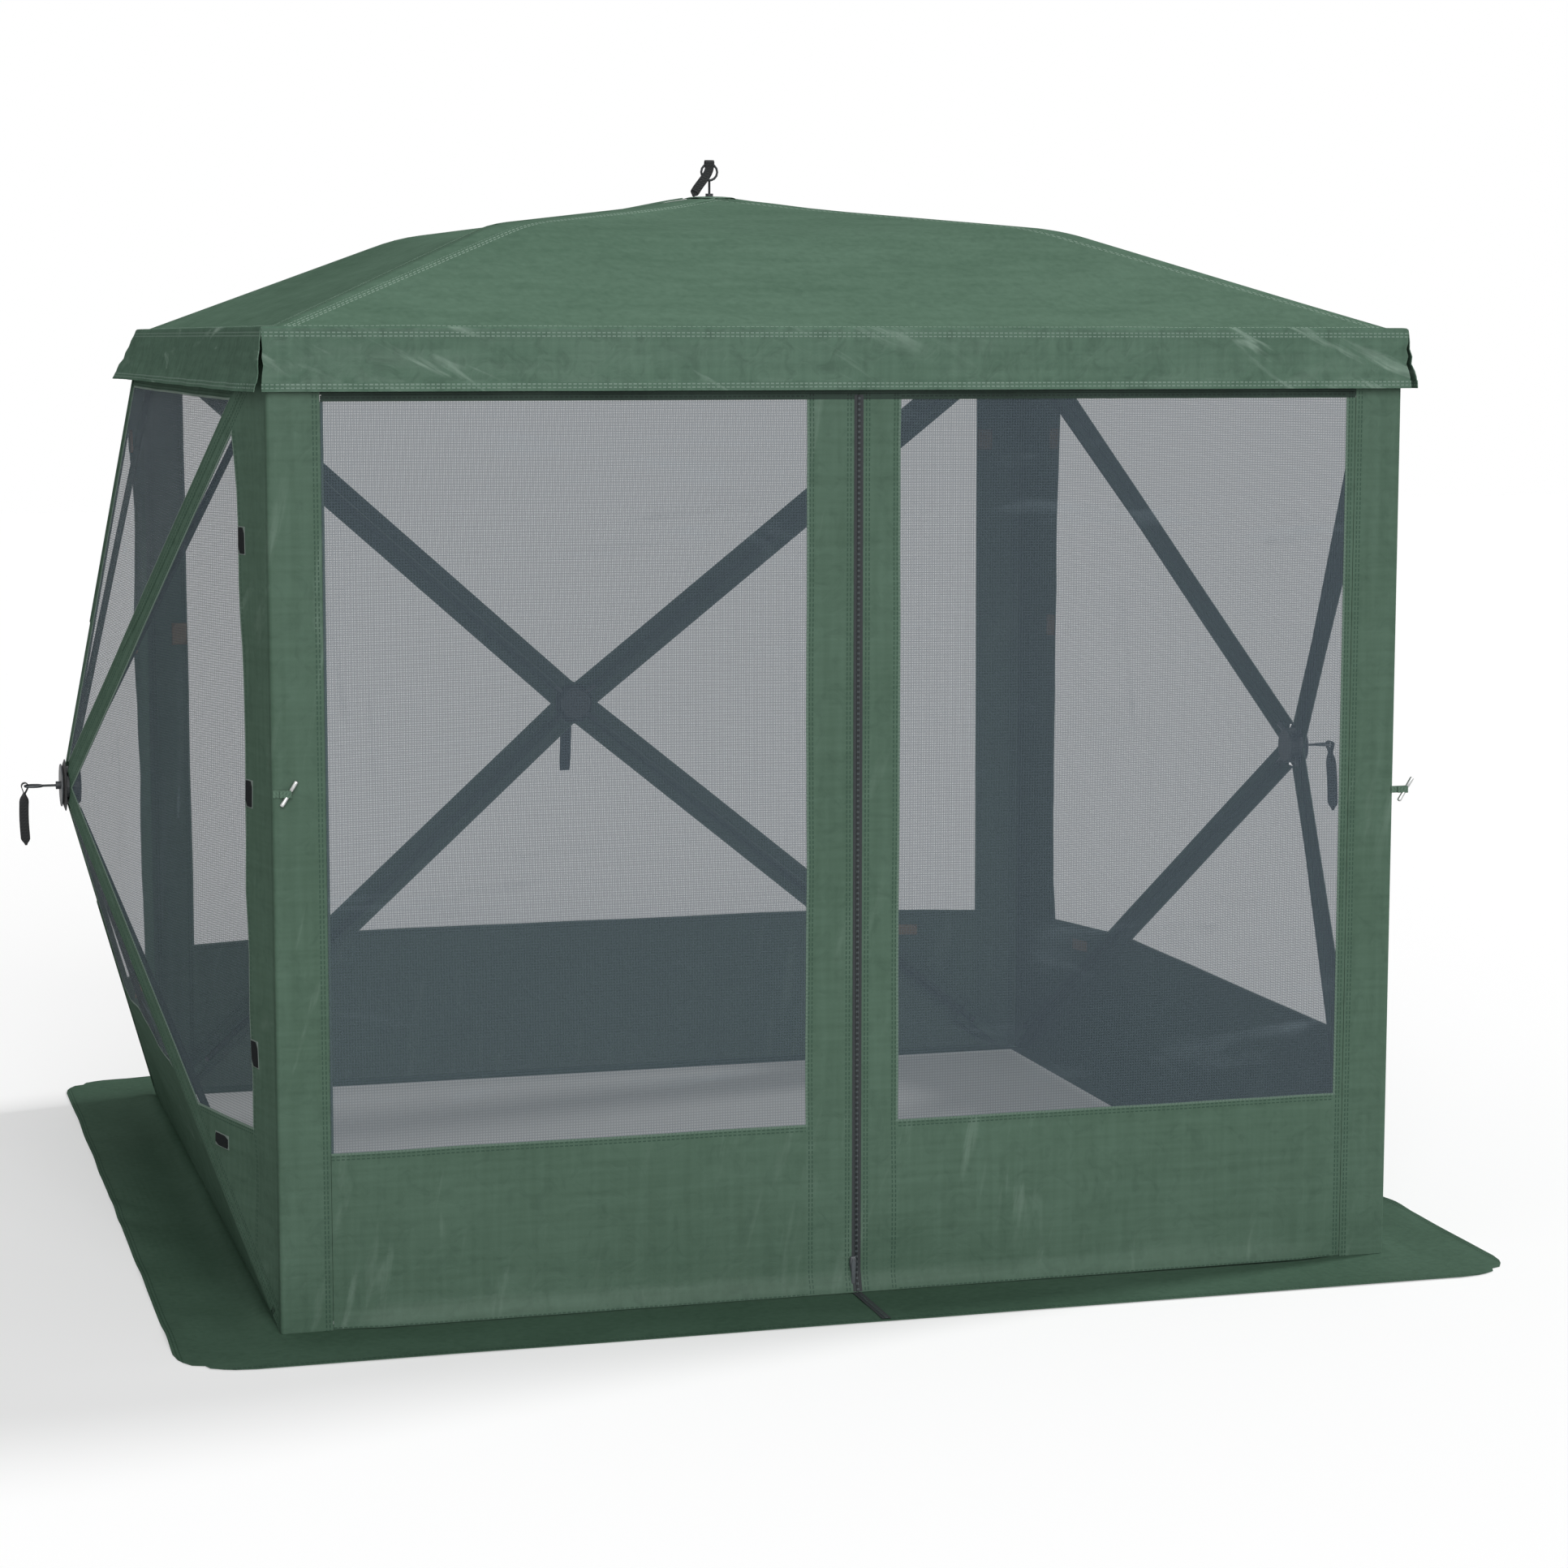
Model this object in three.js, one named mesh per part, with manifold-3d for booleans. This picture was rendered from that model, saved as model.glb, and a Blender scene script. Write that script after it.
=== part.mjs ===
// Four-sided pop-up screen shelter. Three walls and the roof are each held out by a
// hub with four poles that snap past flat, and the front wall is a zipped door.
// Millimetres, +Z up, door towards -Y, standing on Z = 0.

import * as THREE from 'three';
import { ConvexGeometry } from 'three/addons/geometries/ConvexGeometry.js';
import { mergeVertices } from 'three/addons/utils/BufferGeometryUtils.js';
import Module from 'manifold-3d';

const wasm = await Module();
wasm.setup();

// Driving sizes of the pitched shelter
const width = 2130; // between opposite corner seams
const eaveHeight = 1774; // seam between roof and walls
const roofHeight = 270; // roof cloth at the roof hub, above the eave
const bendHeight = 198; // roof cloth where the roof poles bend, above the eave
const kneeShare = 0.53; // of the half width, from the middle out to the bend
const wallBulge = 280; // how far a wall hub stands outside the corner seams
const hubHeight = 868; // wall hub above the ground

// Cloth
const clothThickness = 3;
const seatGap = 0.3; // running gap at every seam and seat
const cornerLeg = 25; // corner strip along a hub wall
const frontStrip = 92; // corner strip along the front wall
const headerDrop = 113; // from the roof seam to the lower edge of the cloth above the door
const cornerGap = 12; // from a ridge to the cloth beside it, at the corner
const kneeGap = 38; // the same from the bend of a roof pole up to the roof hub
const hubGap = 30; // the same at a wall hub
const hubCut = 85; // from a hub's axis to the end of a cloth panel
const seamBevel = 1.5; // length of the bevel on a hinged seam

// Ground skirt
const skirtWidth = 200;
const skirtTuck = 20; // skirt inside the wall line
const skirtRound = 130; // outer corner radius
const mitreGap = 0.15; // from a mitre plane to the cloth, each side

// Valance
const hemHeight = 9;
const hemInner = 8; // hem inside the wall line
const hemOuter = 9; // hem outside the wall line
const valanceDrop = 107; // from the roof seam to the lower edge
const frontFlare = 13; // lower edge outside the wall line, front
const wallFlare = 43; // the same on a hub wall
const frontCornerFlare = 21; // the same at a front corner of a side wall
const backCornerFlare = 58; // the same at a back corner
const flareReach = 190; // length of the change of flare at a corner
const foldDepth = 3;
const foldSpacing = 355;
const foldSteps = 4; // columns for each fold

// Poles
const poleRadius = 5.5;
const wallPoleInset = 91.3; // nearer wall corner to pole tip, along the wall
const roofPoleInset = 92; // roof corner to pole tip, along the ridge
const poleInset = 18; // pole axis inside the cloth
const poleSides = 8;
const pivotRadius = 30; // hub axis to knuckle pin
const pinRadius = 2.5;
const lugRadius = 8;
const lugWidth = 8;
const tangHeight = 7; // neck between the lug and the pole

// Pole pockets in the corners
const pocketWall = 3;
const pocketMouth = 30; // pocket ahead of the pole tip
const pocketSpare = 3; // free travel past the tip at full stretch
const footLength = 25;
const footHeight = 22;
const roofFootHeight = 44;

// Hub
const hubRadius = 38;
const hubFront = 4; // from the cloth to the knuckle disc
const hubDepth = 32; // thickness of the knuckle disc
const hubRound = 3;
const plateRadius = 43;
const plateFront = 0.5; // from the cloth to the outer plate
const plateThickness = 2.5;
const plateRound = 1;
const neckRadius = 19;
const bossRadius = 8;
const bossHeight = 9;
const slotInner = 20; // hub axis to the foot of a knuckle slot
const slotHeight = 22;
const slotSide = 0.3; // knuckle slot beside the lug
const hubSides = 20;

// Pull ring and strap
const ringRadius = 17; // to the middle of the wire
const wireRadius = 2.5;
const ringStand = 53; // outer plate to ring centre
const wireSides = 6;
const ringSteps = 14;
const strapWidth = 18;
const strapThickness = 2.5;
const strapLength = 120;
const strapPoint = 12; // length of the pointed end
const loopWall = 2.5;
const loopSides = 12;
const roofStrapLean = 28; // forward lean of the roof strap
const roofStrapDrop = 58;

// Zip slider on the door
const sliderWidth = 14;
const sliderHeight = 28;
const sliderThickness = 7;
const sliderRest = 45; // lower end above the ground, zip closed
const pullWidth = 8;
const pullLength = 38;
const pullThickness = 2;

// Tie-back toggles at the front corners
const toggleLeftHeight = 970;
const toggleRightHeight = 908;
const toggleRoot = 4; // root of the right strap inside the corner seam
const toggleStrap = 28;
const toggleStrapWidth = 13;
const toggleStrapThickness = 2;
const barLength = 53;
const barRadius = 4;
const barTilt = 58; // degrees from level
const barSides = 8;

// Values that follow from the sizes above
const half = width / 2;
const peakHeight = eaveHeight + roofHeight;
const kneeHeight = eaveHeight + bendHeight;
const headerBottom = eaveHeight - headerDrop;
const thick = clothThickness / 2;
const wallBottom = clothThickness + seatGap;
const wallTop = eaveHeight - hemHeight / 2 - seatGap;
const sideSeam = half - cornerLeg - seatGap;
const roofSeam = half - hemInner - seatGap;
const nearCorner = Math.min(wallTop - hubHeight, hubHeight - wallBottom);
const poleReach = Math.hypot(sideSeam, nearCorner) - wallPoleInset; // from the hub's axis
const kneeOut = kneeShare * half;
const valanceBottom = eaveHeight - valanceDrop;
const diagonal = Math.SQRT2;
const pocketHalf = poleRadius + seatGap + pocketWall;
const pocketDepth = (cornerLeg - poleInset) * 2; // along the wall normal
const ringOut = plateFront + plateThickness + ringStand;
const ringInside = ringRadius - wireRadius;
const holeRadius = ringRadius - Math.sqrt(ringInside ** 2 - (strapWidth / 2) ** 2) + seatGap;

// The door side is shallower than the back, so the middle of the whole box is the origin
const wallReach = wallBulge + ringOut + ringRadius + holeRadius + loopWall;
const shiftBack = (skirtWidth - wallReach) / 2;

const green = { color: 0x4c6a58, roughness: 0.55, metalness: 0 };
const netting = { color: 0x868c94, roughness: 0.8, metalness: 0 };
const charcoal = { color: 0x23272b, roughness: 0.5, metalness: 0 };
const fibreglass = { color: 0x2a2f36, roughness: 0.35, metalness: 0 };
const webbing = { color: 0x17191b, roughness: 0.85, metalness: 0 };
const nickel = { color: 0xa9acae, roughness: 0.35, metalness: 1 };

const shelter = new THREE.Group();
shelter.position.y = shiftBack;

function v(x, y, z) {
  return new THREE.Vector3(x, y, z);
}

function addPart(parent, name, geometry, look) {
  const mesh = new THREE.Mesh(geometry, new THREE.MeshStandardMaterial(look));
  mesh.name = name;
  parent.add(mesh);
  return mesh;
}

// Only the places of the corners, with shared corners merged
function bare(geometry) {
  const copy = geometry.clone();
  copy.deleteAttribute('normal');
  copy.deleteAttribute('uv');
  return mergeVertices(copy);
}

function solid(geometry) {
  const merged = bare(geometry);
  const mesh = new wasm.Mesh({
    numProp: 3,
    vertProperties: new Float32Array(merged.attributes.position.array),
    triVerts: new Uint32Array(merged.index.array),
  });
  return new wasm.Manifold(mesh);
}

function surfaceOf(manifold) {
  const mesh = manifold.getMesh();
  const geometry = new THREE.BufferGeometry();
  const places = new THREE.BufferAttribute(new Float32Array(mesh.vertProperties), 3);
  geometry.setAttribute('position', places);
  geometry.setIndex(Array.from(mesh.triVerts));
  return geometry;
}

// A closed sheet between two grids of points. Grid edges may meet in a line.
function sheet(outer, inner) {
  const rows = outer.length;
  const columns = outer[0].length;
  const points = [...outer.flat(), ...inner.flat()];
  const first = rows * columns;
  const faces = [];
  const quad = (a, b, c, d) => faces.push([a, b, c], [a, c, d]);
  const at = (row, column) => row * columns + column;
  for (let row = 0; row < rows - 1; row += 1) {
    for (let column = 0; column < columns - 1; column += 1) {
      const corners = [at(row, column), at(row + 1, column),
        at(row + 1, column + 1), at(row, column + 1)];
      quad(...corners);
      quad(...corners.reverse().map((index) => index + first));
    }
    const last = columns - 1;
    quad(at(row, 0), at(row, 0) + first, at(row + 1, 0) + first, at(row + 1, 0));
    quad(at(row + 1, last), at(row + 1, last) + first, at(row, last) + first, at(row, last));
  }
  for (let column = 0; column < columns - 1; column += 1) {
    const end = rows - 1;
    quad(at(0, column + 1), at(0, column + 1) + first, at(0, column) + first, at(0, column));
    quad(at(end, column), at(end, column) + first, at(end, column + 1) + first,
      at(end, column + 1));
  }
  const geometry = new THREE.BufferGeometry().setFromPoints(points);
  geometry.setIndex(faces.flat());
  return closed(mergeVertices(geometry));
}

// Faces that a merged line has emptied are dropped, and the rest turned outward
function closed(geometry) {
  const index = Array.from(geometry.index.array);
  const places = geometry.attributes.position;
  const faces = [];
  let volume = 0;
  for (let start = 0; start < index.length; start += 3) {
    const [a, b, c] = index.slice(start, start + 3);
    if (a === b || b === c || c === a) continue;
    faces.push([a, b, c]);
    const [pa, pb, pc] = [a, b, c].map((i) => v().fromBufferAttribute(places, i));
    volume += pa.dot(pb.cross(pc));
  }
  const outward = volume > 0 ? faces : faces.map(([a, b, c]) => [a, c, b]);
  geometry.setIndex(outward.flat());
  return geometry;
}

function moved(points, step) {
  return points.map((row) => row.map((point) => point.clone().add(step)));
}

// A box between two corners, in the axes of a frame
function block(low, high, frame = new THREE.Matrix4()) {
  const size = high.clone().sub(low);
  const middle = low.clone().add(high).multiplyScalar(0.5);
  const box = new THREE.BoxGeometry(size.x, size.y, size.z);
  return solid(box.translate(middle.x, middle.y, middle.z).applyMatrix4(frame));
}

// A rod between two points
function rod(from, to, radius, sides) {
  const along = to.clone().sub(from);
  const turn = new THREE.Quaternion()
    .setFromUnitVectors(v(0, 1, 0), along.clone().normalize());
  const middle = from.clone().add(to).multiplyScalar(0.5);
  const cylinder = new THREE.CylinderGeometry(radius, radius, along.length(), sides);
  return solid(cylinder.applyQuaternion(turn).translate(middle.x, middle.y, middle.z));
}

function join(parts) {
  return parts.reduce((whole, part) => whole.add(part));
}

// A cloth panel from a hinged seam towards a hub. The seam runs from cornerA to cornerB.
// The sides keep clear of the ridges, so that the panels pass each other when they are flat.
function hubPanel(cornerA, cornerB, hub) {
  const seam = cornerB.clone().sub(cornerA);
  const length = seam.length();
  const along = seam.clone().normalize();
  const toHub = hub.clone().sub(cornerA);
  const foot = toHub.dot(along);
  const rise = toHub.clone().addScaledVector(along, -foot);
  const height = rise.length();
  const up = rise.clone().normalize();
  const across = along.clone().cross(up).multiplyScalar(thick);
  const flat = Math.hypot(rise.x, rise.z);
  const end = height * (1 - hubCut / flat);
  const startSine = height / Math.hypot(height, foot);
  const endSine = height / Math.hypot(height, length - foot);
  const row = (reach) => {
    const share = reach / height;
    const gap = cornerGap + (hubGap - cornerGap) * share;
    const start = foot * share + gap / startSine;
    const stop = length - (length - foot) * share - gap / endSine;
    return [start, stop].map((place) => cornerA.clone()
      .addScaledVector(along, place).addScaledVector(up, reach));
  };
  const spine = [row(0), row(seamBevel), row(end)];
  const outer = [spine[0], ...moved(spine.slice(1), across)];
  const inner = [spine[0], ...moved(spine.slice(1), across.clone().negate())];
  return sheet(outer, inner);
}

// A roof panel from the eave seam, over the bends of the poles, to the roof hub
function roofPanel() {
  const row = (out, height, gap) => [-1, 1]
    .map((side) => v(side * (out - gap * diagonal), out - half, height));
  const slope = (kneeHeight - eaveHeight) / (roofSeam - kneeOut);
  const topSlope = (peakHeight - kneeHeight) / kneeOut;
  const spine = [
    row(roofSeam, eaveHeight, cornerGap),
    row(roofSeam - seamBevel, eaveHeight + seamBevel * slope, cornerGap),
    row(kneeOut, kneeHeight, kneeGap),
    row(hubCut, peakHeight - hubCut * topSlope, kneeGap),
  ];
  const outer = [spine[0], ...moved(spine.slice(1), v(0, 0, thick))];
  const inner = [spine[0], ...moved(spine.slice(1), v(0, 0, -thick))];
  return sheet(outer, inner);
}

// The hem bar and the hanging flap of one side, mitred at both ends
function valance(flareAt) {
  const columns = Math.round(width / foldSpacing) * foldSteps;
  const place = (share, out, height) => {
    const end = half + out - mitreGap * diagonal;
    return v((share * 2 - 1) * end, out, height);
  };
  const hang = (share) => {
    const wave = Math.sin(share * width / foldSpacing * Math.PI * 2);
    return flareAt(share) + wave * foldDepth;
  };
  const top = eaveHeight + hemHeight / 2;
  const under = eaveHeight - hemHeight / 2;
  const line = (pointAt) => Array.from({ length: columns + 1 },
    (_, column) => pointAt(column / columns));
  const outer = [
    line((s) => place(s, hemOuter, top)),
    line((s) => place(s, hemOuter, under)),
    line((s) => place(s, hemOuter, under)),
    line((s) => place(s, hang(s), valanceBottom)),
  ];
  const inner = [
    line((s) => place(s, -hemInner, top)),
    line((s) => place(s, -hemInner, under)),
    line((s) => place(s, hemOuter - clothThickness, under)),
    line((s) => place(s, hang(s) - clothThickness, valanceBottom)),
  ];
  return sheet(outer, inner);
}

// Flare of a hub wall's valance: the wall pushes it out, and each corner has its own
function wallFlareAt(startFlare, endFlare) {
  return (share) => {
    const start = 1 - THREE.MathUtils.smoothstep(share * width, 0, flareReach);
    const end = 1 - THREE.MathUtils.smoothstep((1 - share) * width, 0, flareReach);
    return wallFlare + (startFlare - wallFlare) * start + (endFlare - wallFlare) * end;
  };
}

// One side of the ground skirt. A mitred end runs out to the round corner.
function skirt(leftMitre, rightMitre) {
  const gap = mitreGap * diagonal;
  const arc = skirtRound / diagonal;
  const centre = skirtWidth - skirtRound;
  const shape = new THREE.Shape();
  if (leftMitre) {
    const middle = -(half + centre);
    shape.moveTo(-(half - skirtTuck) + gap, -skirtTuck);
    shape.lineTo(middle - arc + gap, centre + arc);
    shape.absarc(middle + gap, centre, skirtRound, Math.PI * 3 / 4, Math.PI / 2, true);
  } else {
    shape.moveTo(mitreGap, -skirtTuck);
    shape.lineTo(mitreGap, skirtWidth);
  }
  if (rightMitre) {
    const middle = half + centre;
    shape.absarc(middle - gap, centre, skirtRound, Math.PI / 2, Math.PI / 4, true);
    shape.lineTo(half - skirtTuck - gap, -skirtTuck);
  } else {
    shape.lineTo(-mitreGap, skirtWidth);
    shape.lineTo(-mitreGap, -skirtTuck);
  }
  shape.closePath();
  return new THREE.ExtrudeGeometry(shape,
    { depth: clothThickness, bevelEnabled: false, curveSegments: 4 });
}

// Hub, in its own axes: the cloth lies in the plane Z = 0 and +Z is outward.
// directions are the angles of the four poles.
function hub(directions) {
  const back = -(hubFront + hubDepth);
  const plateTop = plateFront + plateThickness;
  const outline = [
    [0, back], [hubRadius - hubRound, back], [hubRadius, back + hubRound],
    [hubRadius, -hubFront], [neckRadius, -hubFront], [neckRadius, plateFront], [plateRadius, plateFront],
    [plateRadius, plateTop - plateRound], [plateRadius - plateRound, plateTop],
    [bossRadius, plateTop], [bossRadius, plateTop + bossHeight],
    [0, plateTop + bossHeight],
  ].map(([radius, height]) => new THREE.Vector2(radius, height));
  const lathe = new THREE.LatheGeometry(outline, hubSides).rotateX(Math.PI / 2);
  let body = solid(closed(bare(lathe)));
  for (const angle of directions) {
    const turn = new THREE.Matrix4().makeRotationZ(angle);
    const side = lugWidth / 2 + slotSide;
    const low = v(slotInner, -side, -poleInset - slotHeight / 2);
    const high = v(hubRadius + hubRound, side, -poleInset + slotHeight / 2);
    body = body.subtract(block(low, high, turn));
    const pinEnd = side + hubRound;
    const pinStart = v(pivotRadius, -pinEnd, -poleInset).applyMatrix4(turn);
    const pinStop = v(pivotRadius, pinEnd, -poleInset).applyMatrix4(turn);
    body = body.add(rod(pinStart, pinStop, pinRadius, wireSides));
  }
  return body;
}

// Eye bolt: shank out of the boss, and a ring in the plane of X and Z
function eyeBolt(start) {
  const torus = new THREE.TorusGeometry(ringRadius, wireRadius, wireSides, ringSteps);
  const ring = solid(torus.rotateX(Math.PI / 2).translate(0, 0, ringOut));
  const shank = rod(v(0, 0, start), v(0, 0, ringOut - ringRadius), wireRadius, wireSides);
  return ring.add(shank);
}

// Webbing strap: a loop round the wire, which lies along X, and a tab that ends in a point
function strap(drop, taper) {
  const reach = drop.length();
  const along = drop.clone().normalize();
  const across = v(1, 0, 0).cross(along).normalize();
  const edge = strapWidth / 2;
  const start = along.clone().multiplyScalar(holeRadius);
  const slab = (from, to, endWidth) => [[from, edge], [to, endWidth]]
    .flatMap(([place, wide]) => [-1, 1].flatMap((side) => [-1, 1].map((face) => place.clone()
      .addScaledVector(v(1, 0, 0), side * wide)
      .addScaledVector(across, face * strapThickness / 2))));
  const shoulder = along.clone().multiplyScalar(reach - taper);
  const tab = solid(new ConvexGeometry(slab(start, shoulder, edge)));
  const point = solid(new ConvexGeometry(slab(shoulder, drop, edge / 2)));
  const loop = rod(v(-edge, 0, 0), v(edge, 0, 0), holeRadius + loopWall, loopSides);
  const hole = rod(v(-strapWidth, 0, 0), v(strapWidth, 0, 0), holeRadius, loopSides);
  return surfaceOf(join([tab, point, loop]).subtract(hole));
}

// A round bar through points that bend in the plane across pinAxis, with a domed far end
function bar(points, pinAxis) {
  const headings = points.slice(1)
    .map((point, i) => point.clone().sub(points[i]).normalize());
  const ring = (centre, normal, radius, stretch) => {
    const side = normal.clone().cross(pinAxis);
    return Array.from({ length: poleSides }, (_, step) => {
      const angle = step / poleSides * Math.PI * 2;
      return centre.clone().addScaledVector(side, Math.cos(angle) * radius * stretch)
        .addScaledVector(pinAxis, Math.sin(angle) * radius);
    });
  };
  const rings = points.map((point, i) => {
    const before = headings[Math.max(i - 1, 0)];
    const after = headings[Math.min(i, headings.length - 1)];
    const normal = before.clone().add(after).normalize();
    return ring(point, normal, poleRadius, 1 / normal.dot(before));
  });
  const tip = points[points.length - 1];
  const ahead = headings[headings.length - 1];
  const dome = tip.clone().addScaledVector(ahead, poleRadius * Math.SQRT1_2);
  rings.push(ring(dome, ahead, poleRadius * Math.SQRT1_2, 1));
  const places = [...rings.flat(), points[0], tip.clone().addScaledVector(ahead, poleRadius)];
  const foot = rings.length * poleSides;
  const faces = [];
  for (let step = 0; step < poleSides; step += 1) {
    const next = (step + 1) % poleSides;
    for (let row = 0; row < foot - poleSides; row += poleSides) {
      faces.push([row + step, row + poleSides + step, row + poleSides + next]);
      faces.push([row + step, row + poleSides + next, row + next]);
    }
    faces.push([foot, step, next]);
    faces.push([foot + 1, foot - poleSides + next, foot - poleSides + step]);
  }
  const geometry = new THREE.BufferGeometry().setFromPoints(places);
  geometry.setIndex(faces.flat());
  return solid(closed(geometry));
}

// A pole from its knuckle to its domed tip, over any bend between.
// pinAxis is the direction of the knuckle pin.
function pole(points, pinAxis) {
  const pivot = points[0];
  const along = points[1].clone().sub(pivot).normalize();
  const frame = new THREE.Matrix4()
    .makeBasis(along, pinAxis, along.clone().cross(pinAxis)).setPosition(pivot);
  const start = hubRadius + hubRound - pivotRadius;
  const pin = (radius, length) => rod(pivot.clone().addScaledVector(pinAxis, -length / 2),
    pivot.clone().addScaledVector(pinAxis, length / 2), radius, poleSides);
  const tang = block(v(0, -lugWidth / 2, -tangHeight / 2),
    v(start + tangHeight, lugWidth / 2, tangHeight / 2), frame);
  const shaft = bar([pivot.clone().addScaledVector(along, start), ...points.slice(1)], pinAxis);
  const body = join([shaft, tang, pin(lugRadius, lugWidth)]);
  return surfaceOf(body.subtract(pin(pinRadius + seatGap, lugWidth * 2)));
}

// Axes of one side of the shelter: X along it, Y outward from the wall line, Z up
function sideGroup(turn) {
  const facing = new THREE.Group();
  facing.rotation.z = turn;
  const group = new THREE.Group();
  group.position.y = half;
  facing.add(group);
  shelter.add(facing);
  return group;
}

// Sideways places of the four wall corners around a wall hub
const wallCorners = [
  { side: 1, level: 'top', rise: wallTop - hubHeight },
  { side: -1, level: 'top', rise: wallTop - hubHeight },
  { side: 1, level: 'bottom', rise: wallBottom - hubHeight },
  { side: -1, level: 'bottom', rise: wallBottom - hubHeight },
];

function cornerDirection({ side, rise }) {
  return new THREE.Vector2(side * sideSeam, rise).normalize();
}

// Hub wall, in its own axes: X along the wall, Y outward, Z up.
// minus and plus name the ends of the wall towards -X and +X.
function hubWall(wall, minus, plus, turn) {
  const group = sideGroup(turn);
  const apex = v(0, wallBulge, hubHeight);
  const corner = (side, height) => v(side * sideSeam, 0, height);
  const seams = {
    top: [corner(1, wallTop), corner(-1, wallTop)],
    bottom: [corner(-1, wallBottom), corner(1, wallBottom)],
    [minus]: [corner(-1, wallTop), corner(-1, wallBottom)],
    [plus]: [corner(1, wallBottom), corner(1, wallTop)],
  };
  for (const [place, [from, to]] of Object.entries(seams)) {
    addPart(group, `${wall}_wall_panel_${place}`, hubPanel(from, to, apex), netting);
  }
  const facing = new THREE.Matrix4().makeBasis(v(-1, 0, 0), v(0, 0, 1), v(0, 1, 0));
  const hubGroup = new THREE.Group();
  hubGroup.applyMatrix4(facing);
  hubGroup.position.copy(apex);
  group.add(hubGroup);
  const angles = wallCorners.map((place) => {
    const direction = cornerDirection(place);
    return Math.atan2(direction.y, -direction.x);
  });
  const body = hub(angles).add(eyeBolt(plateFront + plateThickness));
  addPart(hubGroup, `${wall}_wall_hub`, surfaceOf(body), charcoal);
  const tab = addPart(hubGroup, `${wall}_wall_pull_strap`,
    strap(v(0, -strapLength, 0), strapPoint), webbing);
  tab.position.z = ringOut + ringRadius;
  for (const place of wallCorners) {
    const direction = cornerDirection(place);
    const end = place.side > 0 ? plus : minus;
    const along = v(direction.x, 0, direction.y);
    const pivot = apex.clone().addScaledVector(along, pivotRadius);
    pivot.y -= poleInset;
    const tip = v(0, -poleInset, hubHeight).addScaledVector(along, poleReach);
    const pinAxis = along.clone().cross(v(0, 1, 0));
    const name = `${wall}_wall_pole_${place.level}_${end}`;
    addPart(group, name, pole([pivot, tip], pinAxis), fibreglass);
  }
}

// Pocket for a pole tip. The frame has X from the hub to the corner, Y outward.
// mouth and end are places along X, travel is where the tip stops.
function pocket(frame, mouth, travel, end) {
  const low = v(mouth, -poleInset - pocketDepth / 2, -pocketHalf);
  const high = v(end, -poleInset + pocketDepth / 2, pocketHalf);
  const open = poleRadius + seatGap;
  const cutLow = v(mouth - pocketMouth, -poleInset - pocketDepth, -open);
  const cutHigh = v(travel, -poleInset + pocketDepth, open);
  return block(low, high, frame).subtract(block(cutLow, cutHigh, frame));
}

// Pockets of one wall in one corner, with the foot that joins each to the other wall
function wallPockets(place, wallTurn, wallSide) {
  const direction = cornerDirection(place);
  const turn = new THREE.Matrix4().makeRotationZ(wallTurn);
  const along = v(direction.x, 0, direction.y);
  const frame = new THREE.Matrix4()
    .makeBasis(along, v(0, 1, 0), along.clone().cross(v(0, 1, 0)))
    .setPosition(0, half, hubHeight).premultiply(turn);
  const span = poleReach - pivotRadius;
  const stretch = Math.hypot(span, wallBulge) - span;
  const travel = poleReach + stretch + poleRadius + pocketSpare;
  const reach = Math.hypot(sideSeam, place.rise);
  const pocketBody = pocket(frame, poleReach - pocketMouth, travel, reach);
  const inner = sideSeam - footLength;
  const level = place.level === 'top' ? wallTop - pocketWall - footHeight : wallBottom;
  const low = v(Math.min(wallSide * inner, wallSide * half),
    half - poleInset - pocketDepth / 2, level);
  const high = v(Math.max(wallSide * inner, wallSide * half),
    half - poleInset + pocketDepth / 2, level + footHeight);
  return pocketBody.add(block(low, high, turn));
}

// Roof ridge as seen from above: distances from the middle along the diagonal
const ridgeEnd = roofSeam * diagonal;
const ridgeKnee = kneeOut * diagonal;
const ridgeSlope = (kneeHeight - eaveHeight) / (ridgeEnd - ridgeKnee);
const roofTip = ridgeEnd - roofPoleInset;
const roofTipHeight = eaveHeight + roofPoleInset * ridgeSlope - poleInset;

function roofPocket(sideX, sideY) {
  const along = v(sideX, sideY, 0).divideScalar(diagonal);
  const frame = new THREE.Matrix4()
    .makeBasis(along, v(0, 0, 1), along.clone().cross(v(0, 0, 1)))
    .setPosition(0, 0, roofTipHeight + poleInset);
  const span = roofTip - pivotRadius;
  const drop = peakHeight - poleInset - roofTipHeight;
  const travel = pivotRadius + Math.hypot(span, drop) + poleRadius + pocketSpare;
  const end = ridgeEnd - pocketHalf;
  const body = pocket(frame, roofTip - pocketMouth, travel, end);
  const footTop = wallTop - pocketWall - (roofTipHeight + poleInset);
  const low = v(travel, footTop - roofFootHeight, -pocketHalf);
  const high = v(half * diagonal - pocketHalf, footTop, pocketHalf);
  const neckHigh = v(end, -poleInset, pocketHalf);
  return join([body, block(low, high, frame), block(low, neckHigh, frame)]);
}

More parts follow.
